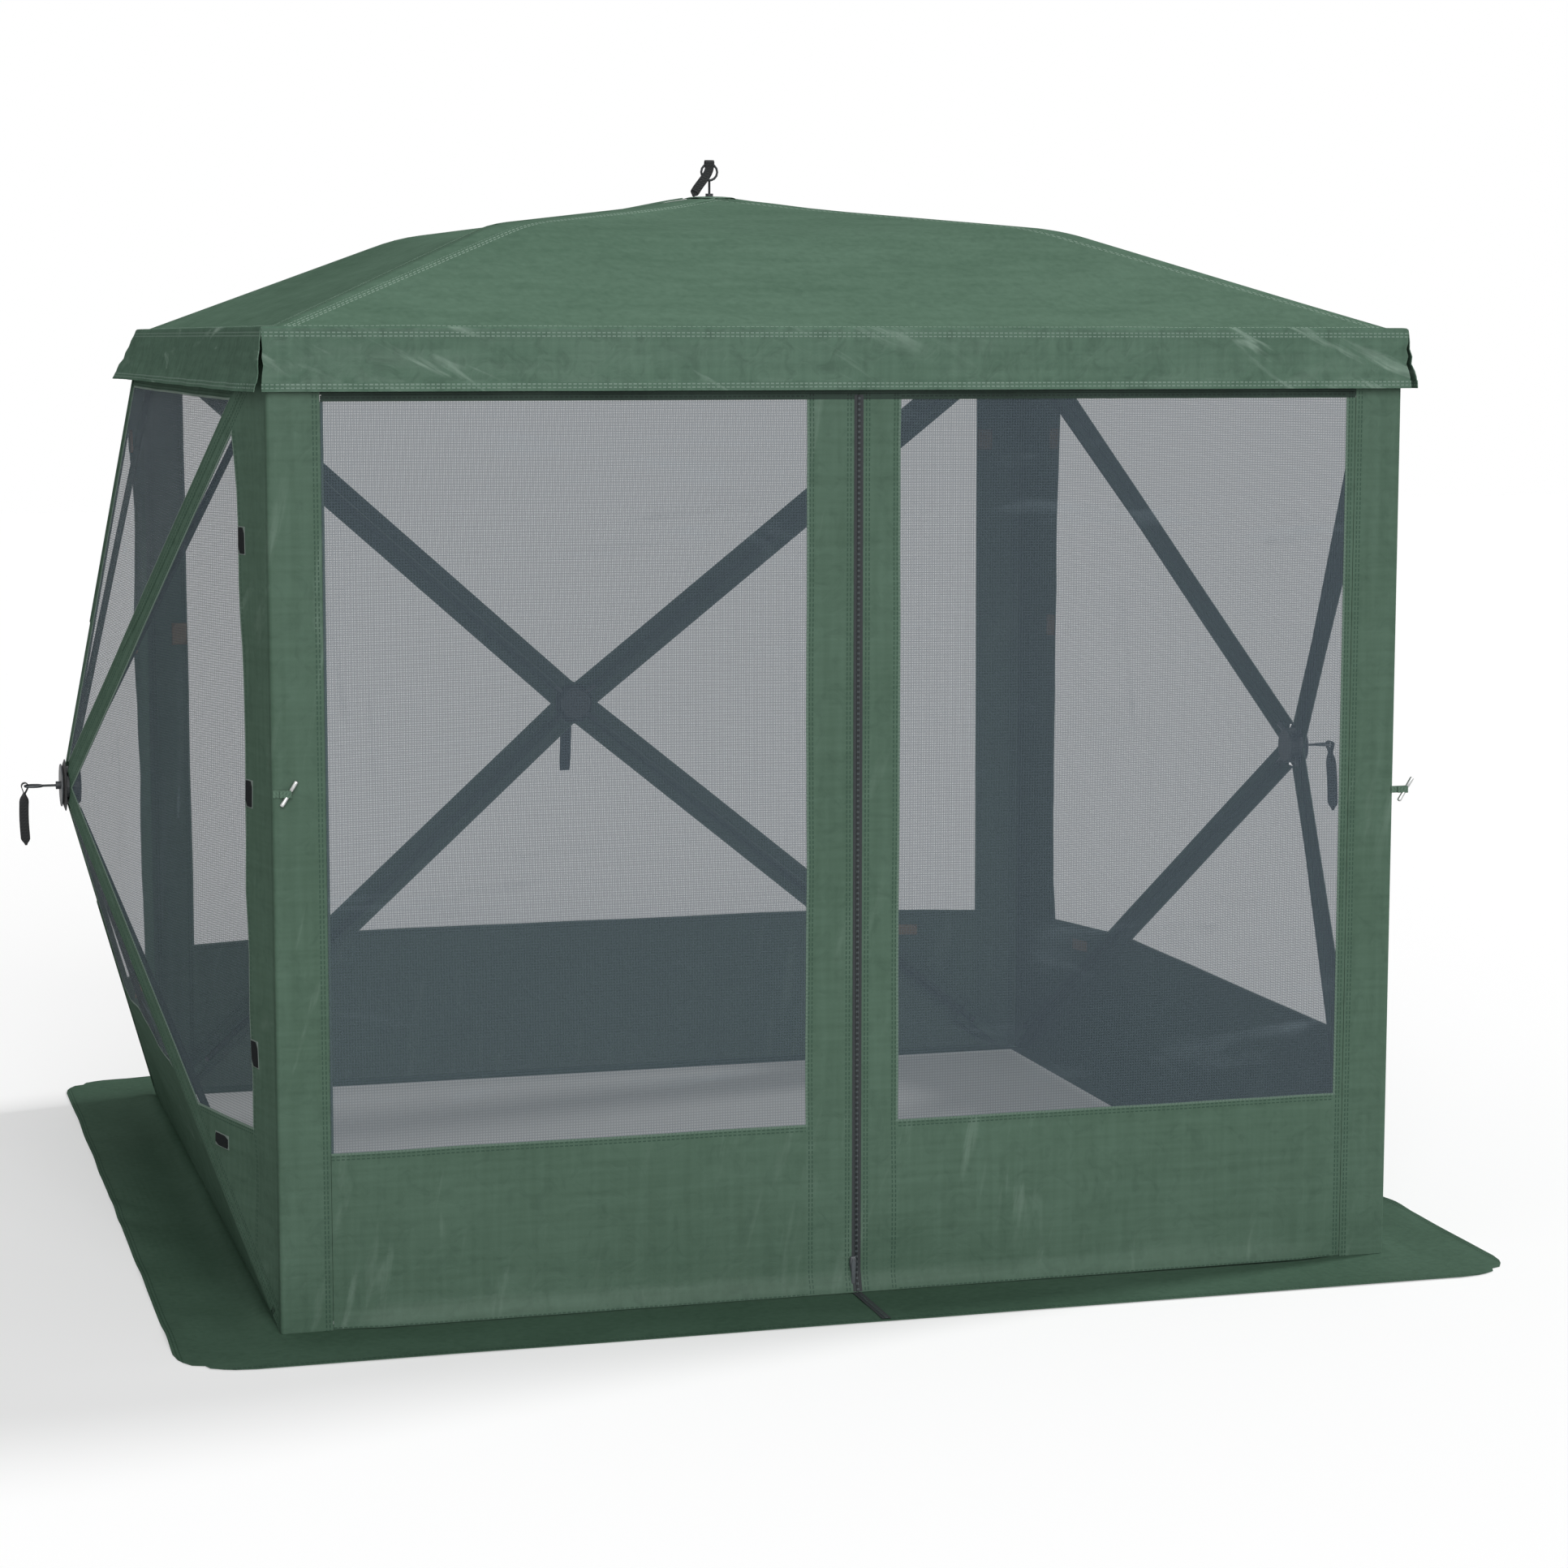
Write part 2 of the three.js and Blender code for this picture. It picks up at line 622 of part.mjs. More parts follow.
// Corner seam strip with its sewn-in pole pockets
function cornerStrip(name, sideX, sideY) {
  const front = sideY < 0;
  const legX = front ? frontStrip : cornerLeg;
  const box = (x0, x1, y0, y1) => block(
    v(Math.min(x0, x1), Math.min(y0, y1), wallBottom),
    v(Math.max(x0, x1), Math.max(y0, y1), wallTop),
  );
  const outer = half + thick;
  const inner = half - thick;
  const strips = [
    box(sideX * outer, sideX * (half - legX), sideY * inner, sideY * outer),
    box(sideX * inner, sideX * outer, sideY * outer, sideY * (half - cornerLeg)),
  ];
  const sideTurn = -sideX * Math.PI / 2;
  const sideEnd = -sideX * sideY;
  const parts = wallCorners.filter(({ side }) => side === sideEnd)
    .map((place) => wallPockets(place, sideTurn, sideEnd));
  if (!front) {
    parts.push(...wallCorners.filter(({ side }) => side === sideX)
      .map((place) => wallPockets(place, 0, sideX)));
  }
  const limits = block(v(-half, -half, wallBottom), v(half, half, wallTop));
  const pockets = join(parts).intersect(limits);
  const whole = join([...strips, pockets, roofPocket(sideX, sideY)]);
  addPart(shelter, name, surfaceOf(whole), green);
}

hubWall('back', 'left', 'right', 0);
hubWall('left', 'front', 'back', Math.PI / 2);
hubWall('right', 'back', 'front', -Math.PI / 2);

cornerStrip('corner_front_left', -1, -1);
cornerStrip('corner_front_right', 1, -1);
cornerStrip('corner_back_left', -1, 1);
cornerStrip('corner_back_right', 1, 1);

// Roof hub, its eye bolt and its strap
const roofTop = new THREE.Group();
roofTop.position.z = peakHeight;
shelter.add(roofTop);
const ridgeAngles = [1, 3, 5, 7].map((step) => step * Math.PI / 4);
addPart(roofTop, 'roof_hub', surfaceOf(hub(ridgeAngles)), charcoal);
const nutTop = plateFront + plateThickness + bossHeight + seatGap;
addPart(roofTop, 'roof_pull_ring', surfaceOf(eyeBolt(nutTop)), nickel);
const roofStrap = addPart(roofTop, 'roof_pull_strap',
  strap(v(0, -roofStrapLean, -roofStrapDrop), 0), webbing);
roofStrap.position.z = ringOut + ringRadius;

const sides = [
  { name: 'back', turn: 0 },
  { name: 'left', turn: Math.PI / 2 },
  { name: 'right', turn: -Math.PI / 2 },
  { name: 'front', turn: Math.PI },
];
const flares = {
  back: wallFlareAt(backCornerFlare, backCornerFlare),
  left: wallFlareAt(frontCornerFlare, backCornerFlare),
  right: wallFlareAt(backCornerFlare, frontCornerFlare),
  front: () => frontFlare,
};
for (const { name, turn } of sides) {
  const group = sideGroup(turn);
  addPart(group, `roof_panel_${name}`, roofPanel(), green);
  addPart(group, `valance_${name}`, valance(flares[name]), green);
  if (name === 'front') {
    addPart(group, 'skirt_front_right', skirt(true, false), green);
    addPart(group, 'skirt_front_left', skirt(false, true), green);
  } else {
    addPart(group, `skirt_${name}`, skirt(true, true), green);
  }
}

for (const [name, sideX, sideY] of [
  ['front_left', -1, -1], ['front_right', 1, -1], ['back_left', -1, 1], ['back_right', 1, 1],
]) {
  const along = v(sideX, sideY, 0).divideScalar(diagonal);
  const at = (distance, height) => along.clone().multiplyScalar(distance).setZ(height);
  const points = [
    at(pivotRadius, peakHeight - poleInset),
    at(ridgeKnee, kneeHeight - poleInset),
    at(roofTip, roofTipHeight),
  ];
  const body = pole(points, along.clone().cross(v(0, 0, 1)));
  addPart(shelter, `roof_pole_${name}`, body, fibreglass);
}

// Front wall: the cloth above the door, the two door halves, and the slider of their zip,
// which stays on the left half when the halves part
const doorOuter = half - frontStrip - seatGap;
const front = -half;
const clothBlock = (x0, x1, z0, z1) => surfaceOf(block(
  v(Math.min(x0, x1), front - thick, z0), v(Math.max(x0, x1), front + thick, z1),
));
addPart(shelter, 'front_header',
  clothBlock(-doorOuter, doorOuter, headerBottom, wallTop), green);
for (const [name, side] of [['left', -1], ['right', 1]]) {
  const panel = clothBlock(side * mitreGap, side * doorOuter, wallBottom,
    headerBottom - seatGap);
  addPart(shelter, `door_${name}`, panel, netting);
}
const sliderBack = front - thick - seatGap;
const sliderMiddle = -mitreGap - sliderWidth / 2;
const pullFront = sliderBack - sliderThickness;
const slider = join([
  block(v(sliderMiddle - sliderWidth / 2, pullFront, sliderRest),
    v(sliderMiddle + sliderWidth / 2, sliderBack, sliderRest + sliderHeight)),
  block(v(sliderMiddle - pullWidth / 2, pullFront, sliderRest - pullLength),
    v(sliderMiddle + pullWidth / 2, pullFront + pullThickness, sliderRest + sliderHeight)),
]);
addPart(shelter, 'zip_slider', surfaceOf(slider), charcoal);

// Toggles: a short strap that starts at the corner seam, and a bar sewn across its end
function toggle(root, height) {
  const back = front - thick - seatGap;
  const strapBlock = block(
    v(root, back - toggleStrapThickness, height - toggleStrapWidth / 2),
    v(root + toggleStrap, back, height + toggleStrapWidth / 2),
  );
  const tilt = THREE.MathUtils.degToRad(barTilt);
  const middle = v(root + toggleStrap, back - barRadius, height);
  const reach = v(Math.cos(tilt), 0, Math.sin(tilt)).multiplyScalar(barLength / 2);
  const bolt = rod(middle.clone().sub(reach), middle.clone().add(reach), barRadius, barSides);
  return surfaceOf(strapBlock.add(bolt));
}
addPart(shelter, 'toggle_left', toggle(-half, toggleLeftHeight), nickel);
addPart(shelter, 'toggle_right', toggle(half - toggleRoot, toggleRightHeight), nickel);

export default shelter;
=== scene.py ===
# %% [markdown]
# A pop-up screen shelter. Three walls and the roof are each held out by a hub with four
# poles, and the front wall is a zipped door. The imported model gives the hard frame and
# every joint. This notebook dresses it in cloth, netting, webbing and moulded parts.

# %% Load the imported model
import math

import bmesh
import bpy
import numpy as np
from mathutils import Matrix, Vector, noise


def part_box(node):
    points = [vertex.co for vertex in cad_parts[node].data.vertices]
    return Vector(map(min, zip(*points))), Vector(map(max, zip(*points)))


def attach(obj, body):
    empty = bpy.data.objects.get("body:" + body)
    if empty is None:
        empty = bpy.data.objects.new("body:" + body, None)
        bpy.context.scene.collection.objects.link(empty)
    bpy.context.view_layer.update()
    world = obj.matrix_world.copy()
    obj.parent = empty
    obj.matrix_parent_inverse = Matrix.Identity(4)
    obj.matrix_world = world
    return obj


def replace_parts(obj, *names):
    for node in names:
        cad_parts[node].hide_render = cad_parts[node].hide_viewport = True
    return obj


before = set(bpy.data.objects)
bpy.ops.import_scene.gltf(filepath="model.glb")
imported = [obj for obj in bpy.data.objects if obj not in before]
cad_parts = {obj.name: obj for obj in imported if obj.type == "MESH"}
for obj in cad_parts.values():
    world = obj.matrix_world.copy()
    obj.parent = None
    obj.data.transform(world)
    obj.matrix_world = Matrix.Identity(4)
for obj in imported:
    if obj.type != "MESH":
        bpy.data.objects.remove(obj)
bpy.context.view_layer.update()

# %% [markdown]
# The cloth follows the same sizes as the solids, so they are written once, in metres.
# The door side is shallower than the back, so the middle of the floor plan is not at the
# origin. The roof hub stands over that middle, and gives its place.

# %% Sizes of the pitched shelter
HALF = 1.065  # middle to a corner seam
EAVE = 1.774
PEAK = 2.044
KNEE = 1.972  # roof cloth where the roof poles bend
KNEE_OUT = 0.53 * HALF
BULGE = 0.28  # a wall hub outside the corner seams
HUB_HEIGHT = 0.868
WALL_TOP = 1.7692
WALL_BOTTOM = 0.0033
SIDE_SEAM = 1.0397
ROOF_SEAM = 1.0567
HEADER_BOTTOM = 1.661
FRONT_STRIP = 0.092
LOWER_BAND = 0.35  # top of the cloth band at the foot of a hub wall
DOOR_BAND = 0.325
UPPER_BAND = 1.65
SKIRT = 0.2
POLE_INSET = 0.018
WALL_POLE = 1.26098  # hub axis to pole tip
ROOF_POLE_INSET = 0.092
PIVOT = 0.03
RING_OUT = 0.056  # cloth to ring centre

hub_low, hub_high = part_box("roof_hub")
MIDDLE_Y = (hub_low.y + hub_high.y) / 2
print("middle of the floor plan", round(MIDDLE_Y, 5))

# %% [markdown]
# Each side is drawn in its own axes: x along it, y outward from the line between the
# corners, z up. One function turns such a point into the frame of the whole shelter.

# %% Side axes
SIDE_TURN = {"back": 0.0, "left": math.pi / 2, "right": -math.pi / 2, "front": math.pi}
WALL_ENDS = {"back": ("left", "right"), "left": ("front", "back"), "right": ("back", "front")}


def turns(count):
    """Angles at even steps round a ring."""
    return [2 * math.pi * k / count for k in range(count)]


def on_front(x, out, z):
    """A point of the front wall in the frame of the shelter, where x isn't turned round."""
    return Vector((x, -(HALF + out) + MIDDLE_Y, z))


def on_side(side, x, y, z):
    turn = SIDE_TURN[side]
    c, s = math.cos(turn), math.sin(turn)
    y += HALF
    return Vector((x * c - y * s, x * s + y * c + MIDDLE_Y, z))


def smooth_step(value, start, end):
    t = min(max((value - start) / (end - start), 0.0), 1.0)
    return t * t * (3 - 2 * t)


print("back hub", [round(v, 3) for v in on_side("back", 0, BULGE, HUB_HEIGHT)])

# %% [markdown]
# Materials are node trees. One function turns a written sRGB colour into the linear
# numbers that a shader wants, and one adds a node with its settings and links.

# %% Colour and node helpers


def linear(code, alpha=1.0):
    parts = [int(code[i:i + 2], 16) / 255 for i in (1, 3, 5)]
    return (*[p / 12.92 if p <= 0.04045 else ((p + 0.055) / 1.055) ** 2.4 for p in parts], alpha)


def add(tree, kind, inputs=None, **settings):
    node = tree.nodes.new("ShaderNode" + kind)
    for name, value in settings.items():
        setattr(node, name, value)
    for name, value in (inputs or {}).items():
        if isinstance(value, bpy.types.NodeSocket):
            tree.links.new(value, node.inputs[name])
        else:
            node.inputs[name].default_value = value
    return node


def new_material(name):
    material = bpy.data.materials.new(name)
    material.use_nodes = True
    tree = material.node_tree
    tree.nodes.clear()
    return material, tree


def finish_material(tree, shader):
    output = add(tree, "OutputMaterial")
    tree.links.new(shader.outputs[0], output.inputs["Surface"])


# %% [markdown]
# The walls' solid bands, the roof and the skirt are woven polyester with a polyurethane
# coat: a dark bottle green with a satin gloss. Its 0.3 mm threads can't show from
# 8 m, so the weave is drawn at 6 mm, and the slubs along the threads as long faint
# streaks. The coat creases where the shelter was folded. The light those creases catch,
# and the shade in their hollows, are painted into the colour.
# Each piece carries a place at every corner of its faces: metres along the nearest
# seam, and metres from the two edges of its strip. The lock stitch is drawn from that,
# as 9 mm stitches in place of 3 mm ones so that they show.

# %% Coated polyester
STITCH = 0.009
STITCH_ROWS = (0.006, 0.012)


def stitch_mask(tree):
    """1 on a stitch, from the place attribute."""
    place = add(tree, "Attribute", attribute_name="cloth_place")
    split = add(tree, "SeparateXYZ", {0: place.outputs["Vector"]})
    dash = add(tree, "Math", {0: split.outputs[0], 1: STITCH}, operation="FLOORED_MODULO")
    dash = add(tree, "Math", {0: dash.outputs[0], 1: STITCH * 0.66}, operation="LESS_THAN")
    rows = None
    for edge in (1, 2):
        for row in STITCH_ROWS:
            away = add(tree, "Math", {0: split.outputs[edge], 1: row, 2: 0.0012},
                       operation="COMPARE")
            rows = away if rows is None else add(
                tree, "Math", {0: rows.outputs[0], 1: away.outputs[0]}, operation="MAXIMUM")
    return add(tree, "Math", {0: rows.outputs[0], 1: dash.outputs[0]}, operation="MULTIPLY")


def streaked(tree, place, turn, across, scale, low, high):
    """Long streaks: noise that is stretched along one direction of the wall's plane."""
    turned = add(tree, "VectorRotate", {"Vector": place, "Axis": (0.0, 1.0, 0.0),
                                        "Angle": math.radians(turn)})
    drawn = add(tree, "Mapping", {"Vector": turned.outputs[0], "Scale": (1.0, 1.0, across)})
    streak = add(tree, "TexNoise", {"Vector": drawn.outputs[0], "Scale": scale, "Detail": 4.0,
                                    "Roughness": 0.55, "Distortion": 0.6})
    return add(tree, "MapRange", {"Value": streak.outputs[0], "From Min": low,
                                  "From Max": high}, interpolation_type="SMOOTHSTEP")


def coated_polyester(name, colour, thread, creases, gloss, painted_glint=0.0, turn=-28.0):
    material, tree = new_material(name)
    place = add(tree, "TexCoord").outputs["Object"]
    cloud = add(tree, "TexNoise", {"Vector": place, "Scale": 2.2, "Detail": 3.0})
    warp = add(tree, "Mapping", {"Vector": place, "Scale": (70.0, 70.0, 4.0)})
    weft = add(tree, "Mapping", {"Vector": place, "Scale": (5.0, 5.0, 90.0)})
    warp = add(tree, "TexNoise", {"Vector": warp.outputs[0], "Scale": 1.0, "Detail": 2.0})
    weft = add(tree, "TexNoise", {"Vector": weft.outputs[0], "Scale": 1.0, "Detail": 2.0})
    slub = add(tree, "Math", {0: warp.outputs[0], 1: weft.outputs[0]}, operation="ADD")
    shade = add(tree, "Math", {0: cloud.outputs[0], 1: slub.outputs[0]}, operation="ADD")
    low, high = colour
    body = add(tree, "MapRange", {"Value": shade.outputs[0], "From Min": 1.1, "From Max": 1.9})
    cloth = add(tree, "Mix", {"Factor": body.outputs[0], 6: linear(low), 7: linear(high)},
                data_type="RGBA")
    # Crushed coat: short fine creases 30 mm apart, with painted shade in their hollows
    crush = add(tree, "TexNoise", {"Vector": place, "Scale": 24.0, "Detail": 4.0,
                                   "Roughness": 0.6, "Distortion": 1.4})
    crease_painted_shade = add(tree, "MapRange", {"Value": crush.outputs[0], "From Min": 0.5,
                                    "From Max": 0.3, "To Max": 0.3 * creases})
    cloth = add(tree, "Mix", {"Factor": crease_painted_shade.outputs[0], 6: cloth.outputs[2],
                              7: linear("#32473b")}, data_type="RGBA")
    # Folds pressed in while packed: thin ridges some 150 mm apart, with a painted highlight
    # along them
    fold = add(tree, "TexNoise", {"Vector": place, "Scale": 5.0, "Detail": 2.5,
                                  "Roughness": 0.55, "Distortion": 0.9},
               noise_type="RIDGED_MULTIFRACTAL")
    fold = add(tree, "MapRange", {"Value": fold.outputs[0], "From Min": 0.6, "From Max": 1.7})
    pale = add(tree, "Math", {0: fold.outputs[0], 1: 0.14 * creases}, operation="MULTIPLY")
    cloth = add(tree, "Mix", {"Factor": pale.outputs[0], 6: cloth.outputs[2],
                              7: linear("#8ba395")}, data_type="RGBA")
    if painted_glint:
        # Painted highlight: light caught by slanting drag folds in the glossy coat
        glint = streaked(tree, place, turn, 7.0, 3.4, 0.56, 0.74)
        patchy = add(tree, "TexNoise", {"Vector": place, "Scale": 2.6, "Detail": 1.0})
        patchy = add(tree, "MapRange", {"Value": patchy.outputs[0], "From Min": 0.42,
                                        "From Max": 0.62, "To Max": painted_glint})
        glint = add(tree, "Math", {0: glint.outputs[0], 1: patchy.outputs[0]},
                    operation="MULTIPLY")
        cloth = add(tree, "Mix", {"Factor": glint.outputs[0], 6: cloth.outputs[2],
                                  7: linear("#a3b8ab")}, data_type="RGBA")
    stitch = stitch_mask(tree)
    sewn = add(tree, "Mix", {"Factor": stitch.outputs[0], 6: cloth.outputs[2],
                             7: linear(thread)}, data_type="RGBA")
    weave_warp = add(tree, "TexWave", {"Vector": place, "Scale": 26.0, "Distortion": 0.3},
                     bands_direction="Z")
    weave_weft = add(tree, "TexWave", {"Vector": place, "Scale": 26.0, "Distortion": 0.3},
                     bands_direction="X")
    weave = add(tree, "Math", {0: weave_warp.outputs[1], 1: weave_weft.outputs[1]},
                operation="MULTIPLY")
    weave_bump = add(tree, "Bump", {"Height": weave.outputs[0], "Strength": 0.04,
                                    "Distance": 0.002})
    crush_bump = add(tree, "Bump", {"Height": crush.outputs[0], "Strength": 0.3 * creases,
                                    "Distance": 0.004, "Normal": weave_bump.outputs[0]})
    fold_bump = add(tree, "Bump", {"Height": fold.outputs[0], "Strength": 0.5 * creases,
                                   "Distance": 0.008, "Normal": crush_bump.outputs[0]})
    sewn_bump = add(tree, "Bump", {"Height": stitch.outputs[0], "Strength": 0.6,
                                   "Distance": 0.001, "Normal": fold_bump.outputs[0]})
    rough = add(tree, "MapRange", {"Value": cloud.outputs[0], "From Min": 0.3, "From Max": 0.7,
                                   "To Min": gloss - 0.05, "To Max": gloss + 0.08})
    # A crushed coat has no mirror sheen at a grazing view, so its gloss is a small
    # even share instead of the usual one that grows towards the rim
    dull = add(tree, "BsdfPrincipled", {
        "Base Color": sewn.outputs[2], "Roughness": 0.9, "IOR": 1.5,
        "Specular IOR Level": 0.0, "Normal": sewn_bump.outputs[0]})
    sheen = add(tree, "BsdfAnisotropic", {"Color": (1.0, 1.0, 1.0, 1.0),
                                          "Roughness": rough.outputs[0],
                                          "Normal": sewn_bump.outputs[0]})
    shader = add(tree, "MixShader", {0: 0.012, 1: dull.outputs[0], 2: sheen.outputs[0]})
    finish_material(tree, shader)
    return material


# The last numbers of the wall and valance cloth set the painted highlight of the slanting drag
# folds
WALL_CLOTH = coated_polyester("coated_polyester_wall", ("#445b4c", "#4e6657"), "#364d40",
                              0.9, 0.45, painted_glint=0.14, turn=78.0)
ROOF_CLOTH = coated_polyester("coated_polyester_roof", ("#476050", "#536c5c"), "#788c7f",
                              0.6, 0.55)
VALANCE_CLOTH = coated_polyester("coated_polyester_valance", ("#465f50", "#536d5d"), "#6f8478",
                                 1.3, 0.38, painted_glint=0.62)
SKIRT_CLOTH = coated_polyester("coated_polyester_skirt", ("#3d5445", "#475f50"), "#2f4538",
                               0.8, 0.5)
# Darker copy of the cloth for the pole channels: painted shade
CHANNEL_PAINTED_SHADE_CLOTH = coated_polyester("coated_polyester_channel_painted_shade", ("#2c3d34", "#34473d"),
                                 "#26362d", 0.8, 0.5)
# Nearly black copy of the cloth: painted shade of the valance on the header and on the door's
# top hem
HEM_PAINTED_SHADE_CLOTH = coated_polyester("coated_polyester_hem_painted_shade", ("#22302a", "#2a3a32"), "#1d2924",
                             0.5, 0.5)
print("cloth materials", sum("coated" in made.name for made in bpy.data.materials))

# %% [markdown]
# The windows are knitted polyester mesh, a square net of grey thread about 1 mm thick on
# a 3 mm pitch. A third of each pitch is thread, so a net lets a little under half the
# light through. Geometry for every thread would be millions of faces, so the net is one
# sheet whose alpha follows the grid, drawn at 5 mm so that it shows. Where the net is
# loose it doubles up in long soft streaks that look closer, and a painted highlight
# makes these streaks paler.

# %% Knitted netting
NET_PITCH = 0.005


def knitted_netting(name):
    material, tree = new_material(name)
    place = add(tree, "Attribute", attribute_name="cloth_place")
    split = add(tree, "SeparateXYZ", {0: place.outputs["Vector"]})
    threads = []
    for axis in (0, 1):
        wrap = add(tree, "Math", {0: split.outputs[axis], 1: NET_PITCH},
                   operation="FLOORED_MODULO")
        threads.append(add(tree, "Math", {0: wrap.outputs[0], 1: NET_PITCH / 3},
                           operation="LESS_THAN"))
    grid = add(tree, "Math", {0: threads[0].outputs[0], 1: threads[1].outputs[0]},
               operation="MAXIMUM")
    slanted = add(tree, "Mapping", {"Vector": place.outputs["Vector"],
                                    "Rotation": (0.0, 0.0, 0.6), "Scale": (1.0, 4.5, 1.0)})
    slack_and_highlight = add(tree, "TexNoise", {"Vector": slanted.outputs[0], "Scale": 1.5, "Detail": 5.0,
                                   "Roughness": 0.55, "Distortion": 1.6})
    slack_and_highlight = add(tree, "MapRange", {"Value": slack_and_highlight.outputs[0], "From Min": 0.6,
                                   "From Max": 0.84})
    # Paler thread colour in the doubled streaks: painted highlight
    colour = add(tree, "Mix", {"Factor": slack_and_highlight.outputs[0], 6: linear("#55616a"),
                               7: linear("#6a7780")}, data_type="RGBA")
    cover = add(tree, "MapRange", {"Value": grid.outputs[0], "To Min": 0.37, "To Max": 0.61})
    more = add(tree, "Math", {0: slack_and_highlight.outputs[0], 1: 0.07, 2: cover.outputs[0]},
               operation="MULTIPLY_ADD")
    shader = add(tree, "BsdfPrincipled", {
        "Base Color": colour.outputs[2], "Roughness": 0.75, "IOR": 1.5,
        "Specular IOR Level": 0.2, "Alpha": more.outputs[0]})
    finish_material(tree, shader)
    return material


NETTING = knitted_netting("knitted_netting")
print("net pitch drawn", NET_PITCH)

# %% [markdown]
# The small parts each have their own finish: pull straps of woven polypropylene webbing,
# hubs of moulded glass-filled nylon, pultruded glass-fibre poles, nickel-plated steel
# bars and a blackened steel ring, nylon zip coil on black tape, and hook-and-loop
# patches.

# %% Finishes of the small parts


def woven_webbing(name, colour, edge):
    material, tree = new_material(name)
    place = add(tree, "Attribute", attribute_name="cloth_place").outputs["Vector"]
    # Ribs of webbing 1.5 mm apart, drawn at 3 mm
    rib = add(tree, "TexWave", {"Vector": place, "Scale": 52.0, "Distortion": 1.0},
              bands_direction="X")
    twill = add(tree, "TexWave", {"Vector": place, "Scale": 90.0, "Distortion": 0.5},
                bands_direction="DIAGONAL")
    weave = add(tree, "Math", {0: rib.outputs[1], 1: twill.outputs[1]}, operation="ADD")
    shade = add(tree, "MapRange", {"Value": weave.outputs[0], "From Max": 2.0})
    tint = add(tree, "Mix", {"Factor": shade.outputs[0], 6: linear(colour), 7: linear(edge)},
               data_type="RGBA")
    bump = add(tree, "Bump", {"Height": weave.outputs[0], "Strength": 0.5, "Distance": 0.0008})
    shader = add(tree, "BsdfPrincipled", {
        "Base Color": tint.outputs[2], "Roughness": 0.8, "IOR": 1.49,
        "Sheen Weight": 0.05, "Normal": bump.outputs[0]})
    finish_material(tree, shader)
    return material


def moulded_nylon(name, colour, worn):
    material, tree = new_material(name)
    place = add(tree, "TexCoord").outputs["Object"]
    # Spark-eroded grain of the mould, 1 mm, and faint flow marks
    grain = add(tree, "TexNoise", {"Vector": place, "Scale": 700.0, "Detail": 2.0})
    flow = add(tree, "TexNoise", {"Vector": place, "Scale": 25.0, "Detail": 3.0})
    edge = add(tree, "NewGeometry").outputs["Pointiness"]
    rub = add(tree, "MapRange", {"Value": edge, "From Min": 0.52, "From Max": 0.62,
                                 "To Max": 0.5})
    base = add(tree, "Mix", {"Factor": flow.outputs[0], 6: linear(colour),
                             7: linear(worn)}, data_type="RGBA")
    tint = add(tree, "Mix", {"Factor": rub.outputs[0], 6: base.outputs[2],
                             7: linear("#5c6367")}, data_type="RGBA")
    rough = add(tree, "MapRange", {"Value": grain.outputs[0], "To Min": 0.4, "To Max": 0.62})
    bump = add(tree, "Bump", {"Height": grain.outputs[0], "Strength": 0.25,
                              "Distance": 0.0006})
    shader = add(tree, "BsdfPrincipled", {
        "Base Color": tint.outputs[2], "Roughness": rough.outputs[0], "IOR": 1.53,
        "Normal": bump.outputs[0]})
    finish_material(tree, shader)
    return material


def pultruded_fibreglass(name):
    material, tree = new_material(name)
    place = add(tree, "TexCoord").outputs["Object"]
    streak = add(tree, "TexNoise", {"Vector": place, "Scale": 120.0, "Detail": 4.0,
                                    "Distortion": 0.4})
    tint = add(tree, "Mix", {"Factor": streak.outputs[0], 6: linear("#22272c"),
                             7: linear("#343b42")}, data_type="RGBA")
    bump = add(tree, "Bump", {"Height": streak.outputs[0], "Strength": 0.15,
                              "Distance": 0.0005})
    rough = add(tree, "MapRange", {"Value": streak.outputs[0], "To Min": 0.22, "To Max": 0.4})
    shader = add(tree, "BsdfPrincipled", {
        "Base Color": tint.outputs[2], "Roughness": rough.outputs[0], "IOR": 1.55,
        "Coat Weight": 0.3, "Coat Roughness": 0.2, "Normal": bump.outputs[0]})
    finish_material(tree, shader)
    return material


def steel_plate(name, colour, bright, rough_low, rough_high):
    material, tree = new_material(name)
    place = add(tree, "TexCoord").outputs["Object"]
    scuff = add(tree, "TexNoise", {"Vector": place, "Scale": 160.0, "Detail": 4.0})
    tint = add(tree, "Mix", {"Factor": scuff.outputs[0], 6: linear(colour),
                             7: linear(bright)}, data_type="RGBA")
    rough = add(tree, "MapRange", {"Value": scuff.outputs[0], "To Min": rough_low,
                                   "To Max": rough_high})
    bump = add(tree, "Bump", {"Height": scuff.outputs[0], "Strength": 0.1,
                              "Distance": 0.0004})
    shader = add(tree, "BsdfPrincipled", {
        "Base Color": tint.outputs[2], "Metallic": 1.0, "Roughness": rough.outputs[0],
        "Normal": bump.outputs[0]})
    finish_material(tree, shader)
    return material


